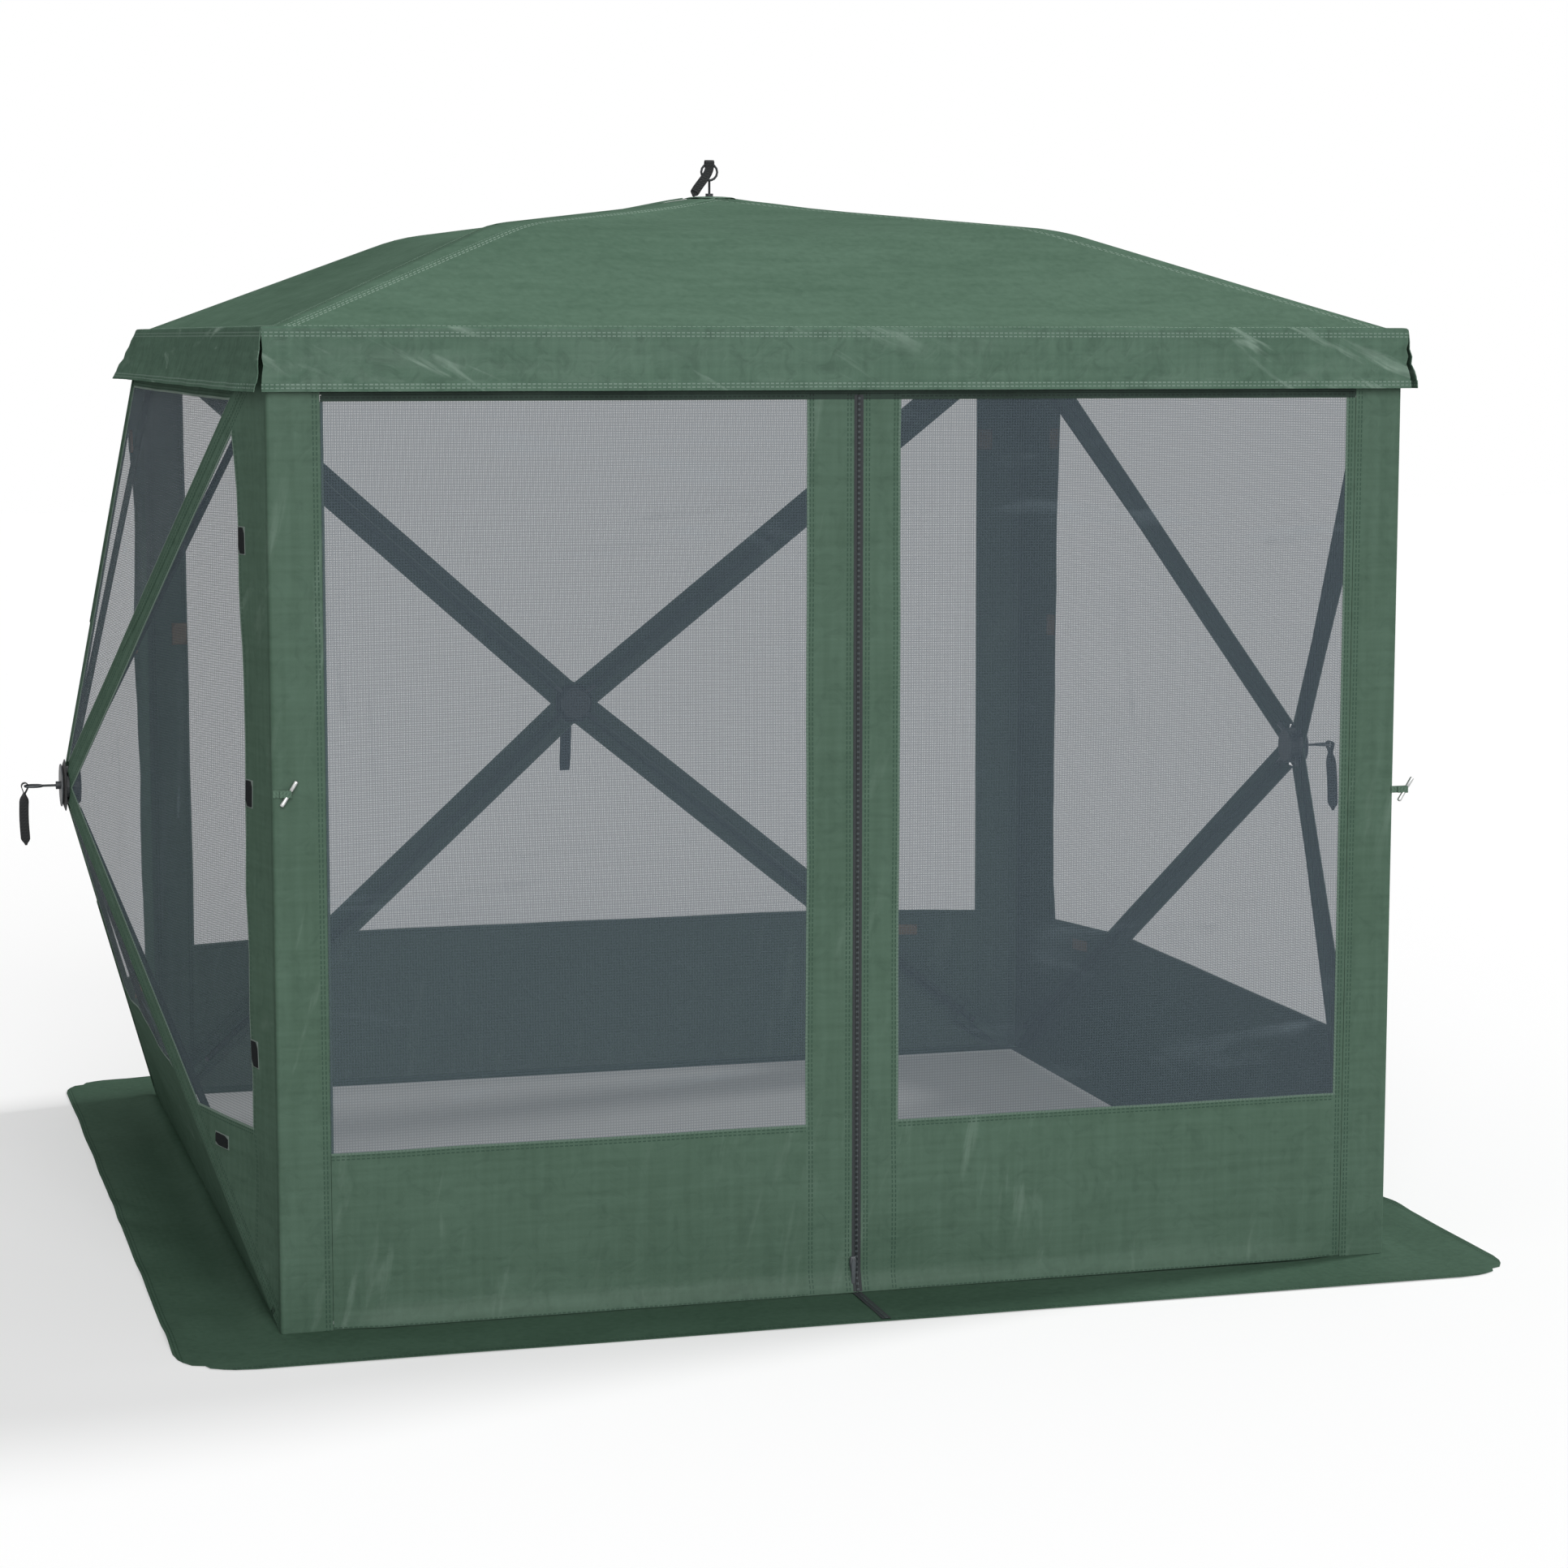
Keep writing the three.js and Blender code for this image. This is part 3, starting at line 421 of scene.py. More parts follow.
def zip_coil(name):
    """Black tape, with a painted pale glint on the coil turns along its inner edge."""
    material, tree = new_material(name)
    place = add(tree, "Attribute", attribute_name="cloth_place")
    split = add(tree, "SeparateXYZ", {0: place.outputs["Vector"]})
    # Coil turns 2 mm apart, drawn at 10 mm
    turn = add(tree, "Math", {0: split.outputs[0], 1: 0.01}, operation="FLOORED_MODULO")
    turn = add(tree, "Math", {0: turn.outputs[0], 1: 0.004}, operation="LESS_THAN")
    near = add(tree, "Math", {0: split.outputs[1], 1: 0.0022}, operation="LESS_THAN")
    glint = add(tree, "Math", {0: turn.outputs[0], 1: near.outputs[0]}, operation="MULTIPLY")
    rib = add(tree, "TexNoise", {"Vector": place.outputs["Vector"], "Scale": 300.0})
    tape = add(tree, "Mix", {"Factor": rib.outputs[0], 6: linear("#15191b"),
                             7: linear("#262c2f")}, data_type="RGBA")
    # Painted highlight on the coil turns
    tint = add(tree, "Mix", {"Factor": glint.outputs[0], 6: tape.outputs[2],
                             7: linear("#4c5456")}, data_type="RGBA")
    bump = add(tree, "Bump", {"Height": glint.outputs[0], "Strength": 0.7, "Distance": 0.001})
    rough = add(tree, "MapRange", {"Value": near.outputs[0], "To Min": 0.75, "To Max": 0.4})
    shader = add(tree, "BsdfPrincipled", {
        "Base Color": tint.outputs[2], "Roughness": rough.outputs[0], "IOR": 1.53,
        "Normal": bump.outputs[0]})
    finish_material(tree, shader)
    return material


def loop_pile(name, colour, pale, stitching):
    """Hook-and-loop patch: a fuzzy pile with a pale row of stitches round it."""
    material, tree = new_material(name)
    place = add(tree, "Attribute", attribute_name="cloth_place")
    split = add(tree, "SeparateXYZ", {0: place.outputs["Vector"]})
    pile = add(tree, "TexNoise", {"Vector": place.outputs["Vector"], "Scale": 420.0,
                                  "Detail": 3.0})
    tint = add(tree, "Mix", {"Factor": pile.outputs[0], 6: linear(colour), 7: linear(pale)},
               data_type="RGBA")
    rim = add(tree, "Math", {0: split.outputs[1], 1: 0.0018}, operation="LESS_THAN")
    tint = add(tree, "Mix", {"Factor": rim.outputs[0], 6: tint.outputs[2],
                             7: linear(stitching)}, data_type="RGBA")
    bump = add(tree, "Bump", {"Height": pile.outputs[0], "Strength": 0.8, "Distance": 0.0015})
    shader = add(tree, "BsdfPrincipled", {
        "Base Color": tint.outputs[2], "Roughness": 0.95, "IOR": 1.5, "Specular IOR Level": 0.1,
        "Normal": bump.outputs[0]})
    finish_material(tree, shader)
    return material


WEBBING = woven_webbing("polypropylene_webbing", "#090a0b", "#15181a")
GREEN_TAPE = woven_webbing("green_tape", "#41594a", "#56705f")
BINDING = woven_webbing("net_binding_tape", "#4c6255", "#5c7265")
NYLON = moulded_nylon("moulded_nylon", "#1d2124", "#2a2f33")
FIBREGLASS = pultruded_fibreglass("pultruded_fibreglass")
NICKEL = steel_plate("nickel_plated_steel", "#a2a4a4", "#d4d5d3", 0.22, 0.45)
BLACKENED = steel_plate("blackened_steel", "#222425", "#47494b", 0.3, 0.5)
ZIP_COIL = zip_coil("nylon_zip_coil")
LOOP_PILE = loop_pile("loop_pile_black", "#0e1011", "#1c2022", "#6f7b75")
PATCH_BACK = loop_pile("patch_backing_tan", "#8a7356", "#9c8467", "#7c684c")
print("small finishes", [look.name for look in (WEBBING, NYLON, FIBREGLASS, NICKEL)])

# %% [markdown]
# Every piece of cloth is built from points and faces. A helper makes the mesh, gives
# each face corner its place on the cloth, thickens it, and lets it ride on its body.
# The thickness is applied at once, so that hard edges can be found by their angle.

# %% Piece helper
HARD_EDGE = math.radians(38)
made_names = []


def piece(name, points, faces, body, looks, places=None, at=None, picks=None,
          thick=0.0, side=0.0, soft=True):
    """places has one place for each corner of each face, and at has one for each point."""
    mesh = bpy.data.meshes.new(name)
    mesh.from_pydata([tuple(p) for p in points], [], faces)
    for look in looks:
        mesh.materials.append(look)
    if picks is not None:
        mesh.polygons.foreach_set("material_index", picks)
    if at is not None:
        places = [[at[i] for i in face] for face in faces]
    if places is not None:
        place = mesh.attributes.new("cloth_place", "FLOAT_VECTOR", "CORNER")
        flat = [value for face in places for spot in face for value in spot]
        place.data.foreach_set("vector", flat)
    obj = bpy.data.objects.new(name, mesh)
    bpy.context.scene.collection.objects.link(obj)
    if thick:
        solid = obj.modifiers.new("cloth", "SOLIDIFY")
        solid.thickness, solid.offset, solid.use_even_offset = thick, side, True
        apply_modifiers(obj)
    obj.data.shade_smooth()
    if soft:
        obj.data.set_sharp_from_angle(angle=HARD_EDGE)
    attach(obj, body)
    made_names.append(name)
    return obj


def made_count(word):
    return sum(word in name for name in made_names)


def apply_modifiers(obj):
    bpy.context.view_layer.update()
    shown = obj.evaluated_get(bpy.context.evaluated_depsgraph_get())
    made = bpy.data.meshes.new_from_object(shown)
    obj.modifiers.clear()
    old, name = obj.data, obj.data.name
    obj.data = made
    bpy.data.meshes.remove(old)
    made.name = name


def grid_faces(rows, columns, cyclic=False):
    faces = []
    for r in range(rows - 1):
        for c in range(columns if cyclic else columns - 1):
            d = (c + 1) % columns
            faces.append((r * columns + c, r * columns + d, (r + 1) * columns + d,
                          (r + 1) * columns + c))
    return faces


# %% [markdown]
# A hub wall is four triangles of cloth and netting that meet on the ridges over the
# poles. Modelling the net and the solid bands as one mesh would tie their edges to one
# grid. Here each triangle starts as one flat face, is cut along every seam line, then
# into 55 mm squares, and the faces are sorted by the band that they lie in. The two
# halves share all their cuts, so the net fits its frame exactly.

# %% Cut a flat triangle along its seams
SQUARE = 0.055


def cut_flat(outline, lines, square=SQUARE):
    """2-D points and faces of an outline that is cut along lines and into squares."""
    bm = bmesh.new()
    bm.faces.new([bm.verts.new((x, y, 0)) for x, y in outline])
    low, high = np.min(outline, axis=0), np.max(outline, axis=0)
    cuts = list(lines)
    for axis in (0, 1):
        count = max(1, round((high[axis] - low[axis]) / square))
        for step in range(1, count):
            place = low[axis] + (high[axis] - low[axis]) * step / count
            cuts.append(((place, 0), (1, 0)) if axis == 0 else ((0, place), (0, 1)))
    for point, normal in cuts:
        bmesh.ops.bisect_plane(bm, geom=bm.verts[:] + bm.edges[:] + bm.faces[:],
                               plane_co=(*point, 0), plane_no=(*normal, 0), dist=1e-5)
    bm.verts.index_update()
    points = [(v.co.x, v.co.y) for v in bm.verts]
    faces = [[v.index for v in f.verts] for f in bm.faces]
    bm.free()
    return points, faces


def pick_faces(faces, chosen):
    """The chosen faces alone, with their points renumbered."""
    used = sorted({i for k in chosen for i in faces[k]})
    new = {old: i for i, old in enumerate(used)}
    return used, [[new[i] for i in faces[k]] for k in chosen]


# %% [markdown]
# The bands: half of a 77 mm pole sleeve along both ridges, a strip beside the corner
# that is wider under the eave, a band at the foot and one at the top. The cloth is
# pulled tight by the hub, but a tight net still ripples by a few millimetres between its
# seams, so every point moves a little along the panel's normal, less towards the seams.

# %% Wall panels
SLEEVE_HALF = 0.0385
# Strip beside the corner: its width at the foot and under the eave
CORNER_BAND = {("back", "left"): (0.074, 0.072), ("back", "right"): (0.08, 0.086),
               ("left", "front"): (0.106, 0.158), ("left", "back"): (0.2, 0.2),
               ("right", "front"): (0.106, 0.158), ("right", "back"): (0.15, 0.15)}
HUB_CLEAR = 0.048
RIDGE_GAP = 0.0004
CLOTH = 0.0014
BINDING_WIDTH = 0.004
# Slit along a ridge: from and to, as distance from the hub, and half its width
SLITS = ((0.68, 1.18, 0.0082), (1.18, 1.32, 0.014))


def line_distance(point, start, way):
    """Signed distance to the left of a line in the panel's plane."""
    return way[0] * (point[1] - start[1]) - way[1] * (point[0] - start[0])


def window_cuts(windows):
    """Cuts along the edges of a window, and along the outer edge of its binding."""
    cuts = []
    for point, inward in windows:
        cuts.append((point, inward))
        cuts.append(((point[0] - inward[0] * BINDING_WIDTH,
                      point[1] - inward[1] * BINDING_WIDTH), inward))
    return cuts


def wall_panel(wall, place):
    minus, plus = WALL_ENDS[wall]
    corner = {
        "top": ((SIDE_SEAM, WALL_TOP), (-SIDE_SEAM, WALL_TOP)),
        "bottom": ((-SIDE_SEAM, WALL_BOTTOM), (SIDE_SEAM, WALL_BOTTOM)),
        minus: ((-SIDE_SEAM, WALL_TOP), (-SIDE_SEAM, WALL_BOTTOM)),
        plus: ((SIDE_SEAM, WALL_BOTTOM), (SIDE_SEAM, WALL_TOP)),
    }[place]
    a, b = (Vector((x, 0, z)) for x, z in corner)
    apex = Vector((0, BULGE, HUB_HEIGHT))
    along = (b - a).normalized()
    length = (b - a).length
    foot = (apex - a).dot(along)
    rise = (apex - a) - along * foot
    height, up = rise.length, rise.normalized()
    normal = along.cross(up)
    if normal.y < 0:
        normal = -normal
    tip = (foot, height)
    # The ridge is a little longer than its distance in the plane of the wall
    stretch = math.hypot(foot, height) / math.hypot(SIDE_SEAM, corner[0][1] - HUB_HEIGHT)
    way_a = Vector((foot, height)).normalized()
    way_b = Vector((length - foot, -height)).normalized()

    def to_a(p):  # distance in from the ridge through corner a
        return -line_distance(p, (0, 0), way_a)

    def to_b(p):
        return -line_distance(p, tip, way_b)

    cuts = []
    for start, way in (((0, 0), way_a), (tip, way_b)):
        inward = Vector((way.y, -way.x))
        for inset in (RIDGE_GAP, SLITS[0][2], SLITS[1][2], SLEEVE_HALF - BINDING_WIDTH,
                      SLEEVE_HALF):
            cuts.append((tuple(Vector(start) + inward * inset), tuple(inward)))
        for level in (SLITS[0][0], SLITS[1][0], SLITS[1][1]):
            from_tip = -way if start == (0, 0) else way
            cuts.append((tuple(Vector(tip) + from_tip * level * stretch), tuple(way)))
    side_panel = place in (minus, plus)
    windows = []  # (point, inward normal, band name)
    if side_panel:
        foot_band, eave_band = CORNER_BAND[wall, place]
        strip, far = (eave_band, foot_band) if place == minus else (foot_band, eave_band)
        taper = (far - strip) / length
        windows.append(((0, strip), tuple(Vector((-taper, 1)).normalized())))
        for level in (LOWER_BAND, UPPER_BAND):
            x = WALL_TOP - level if place == minus else level - WALL_BOTTOM
            up_sign = 1 if (level == LOWER_BAND) == (place == plus) else -1
            windows.append(((x, 0), (up_sign, 0)))
    else:
        gap = (WALL_TOP - UPPER_BAND) if place == "top" else (LOWER_BAND - WALL_BOTTOM)
        span = (WALL_TOP - HUB_HEIGHT) if place == "top" else (HUB_HEIGHT - WALL_BOTTOM)
        windows.append(((0, gap / span * height), (0, 1)))
    cuts += window_cuts(windows)
    tip_point = Vector(tip)
    clears = []
    for way in (Vector((0, -1)), -way_a, way_b):
        point = tip_point + way * HUB_CLEAR
        clears.append((point, way))
        cuts.append((tuple(point), tuple(way)))
    points, faces = cut_flat([(0, 0), (length, 0), tip], cuts)

    def window_distance(p):
        """Distance inside the window's outline; negative on the cloth."""
        best = min(to_a(p), to_b(p)) - SLEEVE_HALF
        for point, inward in windows:
            best = min(best, (p[0] - point[0]) * inward[0] + (p[1] - point[1]) * inward[1])
        return best

    cloth, net, picks, places, net_places = [], [], [], [], []
    for k, face in enumerate(faces):
        middle = np.mean([points[i] for i in face], axis=0)
        from_hub = (Vector(middle) - tip_point).length / stretch
        slit = max([half for low, high, half in SLITS if low < from_hub < high]
                   + [RIDGE_GAP])
        if min(to_a(middle), to_b(middle)) < slit:
            continue
        if all((Vector(middle) - point).dot(way) < 0 for point, way in clears):
            continue
        depth = window_distance(middle)
        if depth > 0:
            net.append(k)
            net_places.append([(points[i][0], points[i][1], 0.0) for i in face])
            continue
        cloth.append(k)
        picks.append(1 if depth > -BINDING_WIDTH else 0)
        spots = []
        near_a, near_b = to_a(middle), to_b(middle)
        if min(near_a, near_b) < SLEEVE_HALF:
            use_a = near_a < near_b
            start, way = ((0, 0), way_a) if use_a else (tip, way_b)
            for i in face:
                inset = to_a(points[i]) if use_a else to_b(points[i])
                run = (Vector(points[i]) - Vector(start)).dot(way)
                spots.append((run, SLEEVE_HALF - inset, inset))
        elif side_panel and middle[1] < strip + taper * middle[0]:
            spots = [(points[i][0], strip + taper * points[i][0] - points[i][1], 0.5)
                     for i in face]
        else:
            point, inward = windows[-1] if not side_panel else min(
                windows[1:], key=lambda w: abs(middle[0] - w[0][0]))
            for i in face:
                away = -((points[i][0] - point[0]) * inward[0]
                         + (points[i][1] - point[1]) * inward[1])
                run = points[i][1] if inward[0] else points[i][0]
                spots.append((run, away, 0.5))
        places.append(spots)

    def lifted(p, out=0.0):
        fade = (smooth_step(min(to_a(p), to_b(p)), 0.01, 0.16) * smooth_step(p[1], 0.01, 0.14)
                * smooth_step((Vector(p) - tip_point).length, 0.06, 0.25))
        spot = a + along * p[0] + up * p[1]
        seed = Vector((spot.x, spot.z, SIDE_TURN[wall] * 3))
        ripple = noise.noise(seed * 3.1) * 0.011 + noise.noise(seed * 9.0) * 0.0035
        spot += normal * (fade * (ripple - 0.006) + out)
        return on_side(wall, spot.x, spot.y, spot.z)

    solid_points = [lifted(p) for p in points]
    name = f"{wall}_wall_{place}"
    used, kept = pick_faces(faces, cloth)
    cut_points = [solid_points[i] for i in used]
    node = f"{wall}_wall_panel_{place}"
    border = piece(f"{name}_cloth", cut_points, kept, node, [WALL_CLOTH, BINDING],
                   places, picks=picks, thick=CLOTH)
    # The border is sewn from strips. Its sheet, and the net's, is declared as one strip of
    # the seam's length and the mesh's own area, which is not the outline it is cut to
    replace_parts(border, node)
    used, kept = pick_faces(faces, net)
    net_points = [solid_points[i] for i in used]
    window = piece(f"{name}_net", net_points, kept, node, [NETTING],
                   net_places, soft=False)

    def spot_on(distance, level, out):
        """A point on the rippled cloth, at a distance from the corner seam and a height."""
        x = WALL_TOP - level if place == minus else level - WALL_BOTTOM
        return lifted((x, distance), out)

    return spot_on


spots_on = {}
for wall, (minus, plus) in WALL_ENDS.items():
    for place in ("top", "bottom", minus, plus):
        spots_on[wall, place] = wall_panel(wall, place)
print("wall panels", len(spots_on))

# %% [markdown]
# Beside the corners, each strip carries square patches of hook-and-loop tape that hold
# the blinds: black loop outside, sewn through to a tan backing inside. They are thin
# plates with their edges turned down, set just proud of the cloth.

# %% Hook-and-loop patches
PATCH = (0.036, 0.05)
PATCH_LEVELS = {("left", "front"): (1.404, 0.955, 0.487), ("back", "left"): (1.08,),
                ("right", "front"): (1.404, 0.955, 0.487), ("back", "right"): (1.515,),
                ("left", "back"): (1.53, 1.08), ("right", "back"): (1.52, 1.07)}
PATCH_IN = 0.02  # from the strip's inner edge to the middle of a patch


def patch(name, body, spot_at, wide, tall, out, look):
    """A thin domed plate. spot_at(u, v, out) gives a point on the cloth."""
    steps = [-1, -0.94, -0.5, 0, 0.5, 0.94, 1]
    points, places_at = [], []
    for v in steps:
        for u in steps:
            rim = max(abs(u), abs(v)) > 0.97
            points.append(spot_at(u * wide / 2, v * tall / 2, out * (0.45 if rim else 1.0)))
            edge = min((1 - abs(u)) * wide / 2, (1 - abs(v)) * tall / 2)
            places_at.append((u * wide, edge, 0.0))
    faces = grid_faces(len(steps), len(steps))
    return piece(name, points, faces, body, [look], at=places_at,
                 thick=0.0009)


patch_count = 0
for (wall, end), (foot_band, eave_band) in CORNER_BAND.items():
    levels = PATCH_LEVELS[wall, end]
    spots = []
    for level in levels:
        band = foot_band + (eave_band - foot_band) * level / WALL_TOP
        spots.append((band - PATCH_IN, level, *PATCH))
    spots.append((0.255, 0.3, 0.062, 0.026))
    for index, (across, level, wide, tall) in enumerate(spots):
        for face, out, look in (("loop", 0.0016, LOOP_PILE), ("backing", -0.0016, PATCH_BACK)):
            patch(f"{wall}_{end}_patch_{index + 1}_{face}", f"{wall}_wall_panel_{end}",
                  lambda u, v, o, x=across, z=level, on=spots_on[wall, end]: on(x + u, z + v, o),
                  wide, tall, out, look)
            patch_count += 1
print("patches", patch_count)

# %% [markdown]
# Inside each ridge the pole runs in a sewn channel, a tube of cloth that rides on the
# pole, drawn darker to paint the shade on it. When a wall is pushed in, pole and ridge
# turn by different angles, so the cloth has a slit over the pole. A tape that rides on
# the pole covers it outside, and a small gusset in each corner covers the end of the
# slit behind the pole's pocket.

# %% Pole channels, ridge tapes and gussets
CHANNEL_RADIUS = 0.0066
CHANNEL_START = 0.068
CHANNEL_END_GAP = 0.033
RIDGE_DROP = 0.229  # fall of the cloth to both sides of a ridge
TAPE_WIDTHS = ((0.46, 0.0065), (0.6, 0.012), (1.12, 0.014), (1.17, 0.018), (1.308, 0.018))
TAPE_TOP_END = 1.235  # under the valance, which the tape must not touch


def channel(name, body, centres):
    """A tube of cloth round a pole, along the points of the pole's axis."""
    ring, points, places_at, run = 14, [], [], 0.0
    for i, centre in enumerate(centres):
        if i:
            run += (centre - centres[i - 1]).length
        way = (centres[min(i + 1, len(centres) - 1)] - centres[max(i - 1, 0)]).normalized()
        across = way.cross(Vector((0.0, 0.0, 1.0))).normalized()
        up = across.cross(way)
        for angle in turns(ring):
            pucker = 1 + 0.05 * noise.noise(Vector((run * 14, angle, len(name))))
            spot = across * math.cos(angle) + up * math.sin(angle)
            points.append(centre + spot * CHANNEL_RADIUS * pucker)
            places_at.append((run, 0.03, 0.5))
    faces = grid_faces(len(centres), ring, cyclic=True)
    return piece(name, points, faces, body, [CHANNEL_PAINTED_SHADE_CLOTH], at=places_at,
                 thick=0.0008)


def ridge_tape(wall, name, body, flat_way):
    """Tape over the slit, with the same fall to both sides as the cloth."""
    across = flat_way.cross(Vector((0, 1, 0)))
    reach = SIDE_SEAM / abs(flat_way.x)
    shares = (-1, -0.5, 0, 0.5, 1)
    end = TAPE_TOP_END if flat_way.z > 0 else TAPE_WIDTHS[-1][0]
    distances = np.linspace(TAPE_WIDTHS[0][0], end, 24)
    points, places_at = [], []
    for r in distances:
        half = np.interp(r, *zip(*TAPE_WIDTHS))
        for share in shares:
            b = half * share
            spot = flat_way * r + across * b
            out = BULGE * (1 - r / reach) + 0.0017 - RIDGE_DROP * abs(b)
            points.append(on_side(wall, spot.x, out, HUB_HEIGHT + spot.z))
            places_at.append((r, half - abs(b) + 0.004, 0.5))
    faces = grid_faces(len(distances), len(shares))
    made = piece(name, points, faces, body, [WALL_CLOTH], at=places_at,
                 thick=0.0009)


def gusset(wall, name, flat_way):
    """Small patch in the plane of the corner seams, behind the pocket's mouth."""
    across = flat_way.cross(Vector((0, 1, 0)))
    points, places_at = [], []
    for r in np.linspace(1.2, 1.34, 6):
        half = np.interp(r, (1.27, 1.34), (0.026, 0.01))
        for b in np.linspace(-half, half, 5):
            spot = flat_way * r + across * b
            points.append(on_side(wall, spot.x, 0.0008, HUB_HEIGHT + spot.z))
            places_at.append((r, 0.03 - abs(b), 0.5))
    faces = grid_faces(6, 5)
    made = piece(name, points, faces, "shelter_frame", [WALL_CLOTH],
                 at=places_at, thick=0.0008)


for wall, (minus, plus) in WALL_ENDS.items():
    for level, top in (("top", WALL_TOP), ("bottom", WALL_BOTTOM)):
        for end, sign in ((minus, -1), (plus, 1)):
            flat_way = Vector((sign * SIDE_SEAM, 0, top - HUB_HEIGHT)).normalized()
            body = f"{wall}_wall_pole_{level}_{end}"
            centres = []
            for r in np.linspace(CHANNEL_START, WALL_POLE - CHANNEL_END_GAP, 16):
                out = -POLE_INSET + BULGE * (WALL_POLE - r) / (WALL_POLE - PIVOT)
                centres.append(on_side(wall, flat_way.x * r, out, HUB_HEIGHT + flat_way.z * r))
            channel(f"{wall}_wall_channel_{level}_{end}", body, centres)
            ridge_tape(wall, f"{wall}_wall_tape_{level}_{end}", body, flat_way)
            gusset(wall, f"{wall}_wall_gusset_{level}_{end}", flat_way)
print("wall", [(word, made_count(word)) for word in ("channel", "tape", "gusset")])

# %% [markdown]
# A corner of the shelter is a strip of cloth folded round the seam. A wider leg faces
# the door at the front, and the hub walls start at the other. The pole tips sit in
# pockets sewn to its inner side. The strip is one curved sheet: its section is an L
# with a 6 mm round fold, swept up the corner with a slight ripple.

# %% Corner strips
CORNER_LEG = 0.0253
CORNER_ROUND = 0.006
STRIP_CLOTH = 0.0016


def corner_section(leg_x, leg_y):
    """2-D points, x and y in from the outer corner, with the run along the section."""
    line = [(leg_x, 0.0)]
    steps = max(2, round((leg_x - CORNER_ROUND) / 0.012))
    for i in range(1, steps + 1):
        line.append((leg_x + (CORNER_ROUND - leg_x) * i / steps, 0.0))
    for i in range(1, 6):
        angle = math.pi / 2 * i / 5
        line.append((CORNER_ROUND * (1 - math.sin(angle)), CORNER_ROUND * (1 - math.cos(angle))))
    line.append((0.0, leg_y / 2 + CORNER_ROUND / 2))
    line.append((0.0, leg_y))
    return line


def corner_strip(name, sign_x, sign_y):
    front = sign_y < 0
    leg_x = FRONT_STRIP if front else CORNER_LEG
    section = corner_section(leg_x, CORNER_LEG)
    rows = 44
    points, places_at = [], []
    for r in range(rows):
        z = WALL_BOTTOM + 0.0005 + (WALL_TOP - WALL_BOTTOM - 0.001) * r / (rows - 1)
        run = 0.0
        for k, (dx, dy) in enumerate(section):
            if k:
                run += math.dist(section[k - 1], section[k])
            wave = noise.noise(Vector((sign_x * 3 + dx * 12, sign_y * 3, z * 4))) * 0.0022
            free = smooth_step(dx, 0.012, 0.05) * smooth_step(leg_x - dx, 0.0, 0.02)
            y = HALF - dy + wave * free
            points.append(Vector((sign_x * (HALF - dx), sign_y * y + MIDDLE_Y, z)))
            places_at.append((z, run, 0.5))
    faces = grid_faces(rows, len(section))
    strip = piece(f"{name}_cloth", points, faces, "shelter_frame", [WALL_CLOTH],
                  at=places_at, thick=STRIP_CLOTH)
    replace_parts(strip, name)


CORNERS = {"corner_front_left": (-1, -1), "corner_front_right": (1, -1),
           "corner_back_left": (-1, 1), "corner_back_right": (1, 1)}
for name, (sign_x, sign_y) in CORNERS.items():
    corner_strip(name, sign_x, sign_y)
print("corner strips", len(CORNERS))

# %% [markdown]
# A pole pocket is a pouch of doubled cloth: round at the tip, open towards the hub. It
# is lofted along the pole from rounded sections that close at the corner.

# %% Pole pockets


def pouch(name, mouth, way, across, out, length, wide, deep):
    """A pouch whose open end is at mouth and whose closed end lies along way."""
    stations = [(0.0, 1.0), (0.012, 1.04), (0.5, 1.0), (0.78, 0.96), (0.92, 0.8), (1.0, 0.42)]
    ring, points, places_at = 20, [], []
    for share, swell in stations:
        for angle in turns(ring):
            cx, cy = math.cos(angle), math.sin(angle)
            # A rounded rectangle from a superellipse
            px = math.copysign(abs(cx) ** 0.55, cx) * wide / 2 * swell
            py = math.copysign(abs(cy) ** 0.55, cy) * deep / 2 * swell
            points.append(mouth + way * (length * share) + across * px + out * py)
            places_at.append((share * length, share * length, 0.5))
    faces = grid_faces(len(stations), ring, cyclic=True)
    faces.append([(len(stations) - 1) * ring + k for k in range(ring)])
    return piece(name, points, faces, "shelter_frame", [WALL_CLOTH],
                 at=places_at, thick=0.0012, side=1.0)


pocket_count = 0
for wall, (minus, plus) in WALL_ENDS.items():
    turn = Matrix.Rotation(SIDE_TURN[wall], 3, "Z")
    for level, top in (("top", True), ("bottom", False)):
        for end, sign in ((minus, -1), (plus, 1)):
            rise = (WALL_TOP if top else WALL_BOTTOM) - HUB_HEIGHT
            flat_way = Vector((sign * SIDE_SEAM, 0, rise))
            flat_way.normalize()
            mouth = Vector((0, -POLE_INSET, HUB_HEIGHT)) + flat_way * (WALL_POLE - 0.028)
            across = flat_way.cross(Vector((0, 1, 0)))
            pouch(f"{wall}_wall_pocket_{level}_{end}", on_side(wall, *mouth),
                  turn @ flat_way, turn @ across, turn @ Vector((0, 1, 0)),
                  0.085, 0.0225, 0.0145)
            pocket_count += 1
print("pockets", pocket_count)

# %% [markdown]
# The front wall is a fixed header over a two-leaf door that parts along a zip. Each leaf
# is a net window in a frame of cloth. It is drawn in the plane of the wall and cut by
# the same helper as the hub walls. The foot of a leaf kicks out a little over the skirt.

# %% Door leaves
DOOR_TOP = 1.6605
DOOR_FOOT = 0.0062
ZIP_TAPE = 0.0085
DOOR_OUTER = HALF - FRONT_STRIP - 0.0003  # from the middle to the hinge seam
DOORS = {"left": (-0.9725, -0.097), "right": (0.9537, 0.08)}


def foot_kick(z):
    """How far the foot of a leaf stands out over the skirt."""
    return 0.012 * (1 - smooth_step(z, DOOR_FOOT, 0.045))


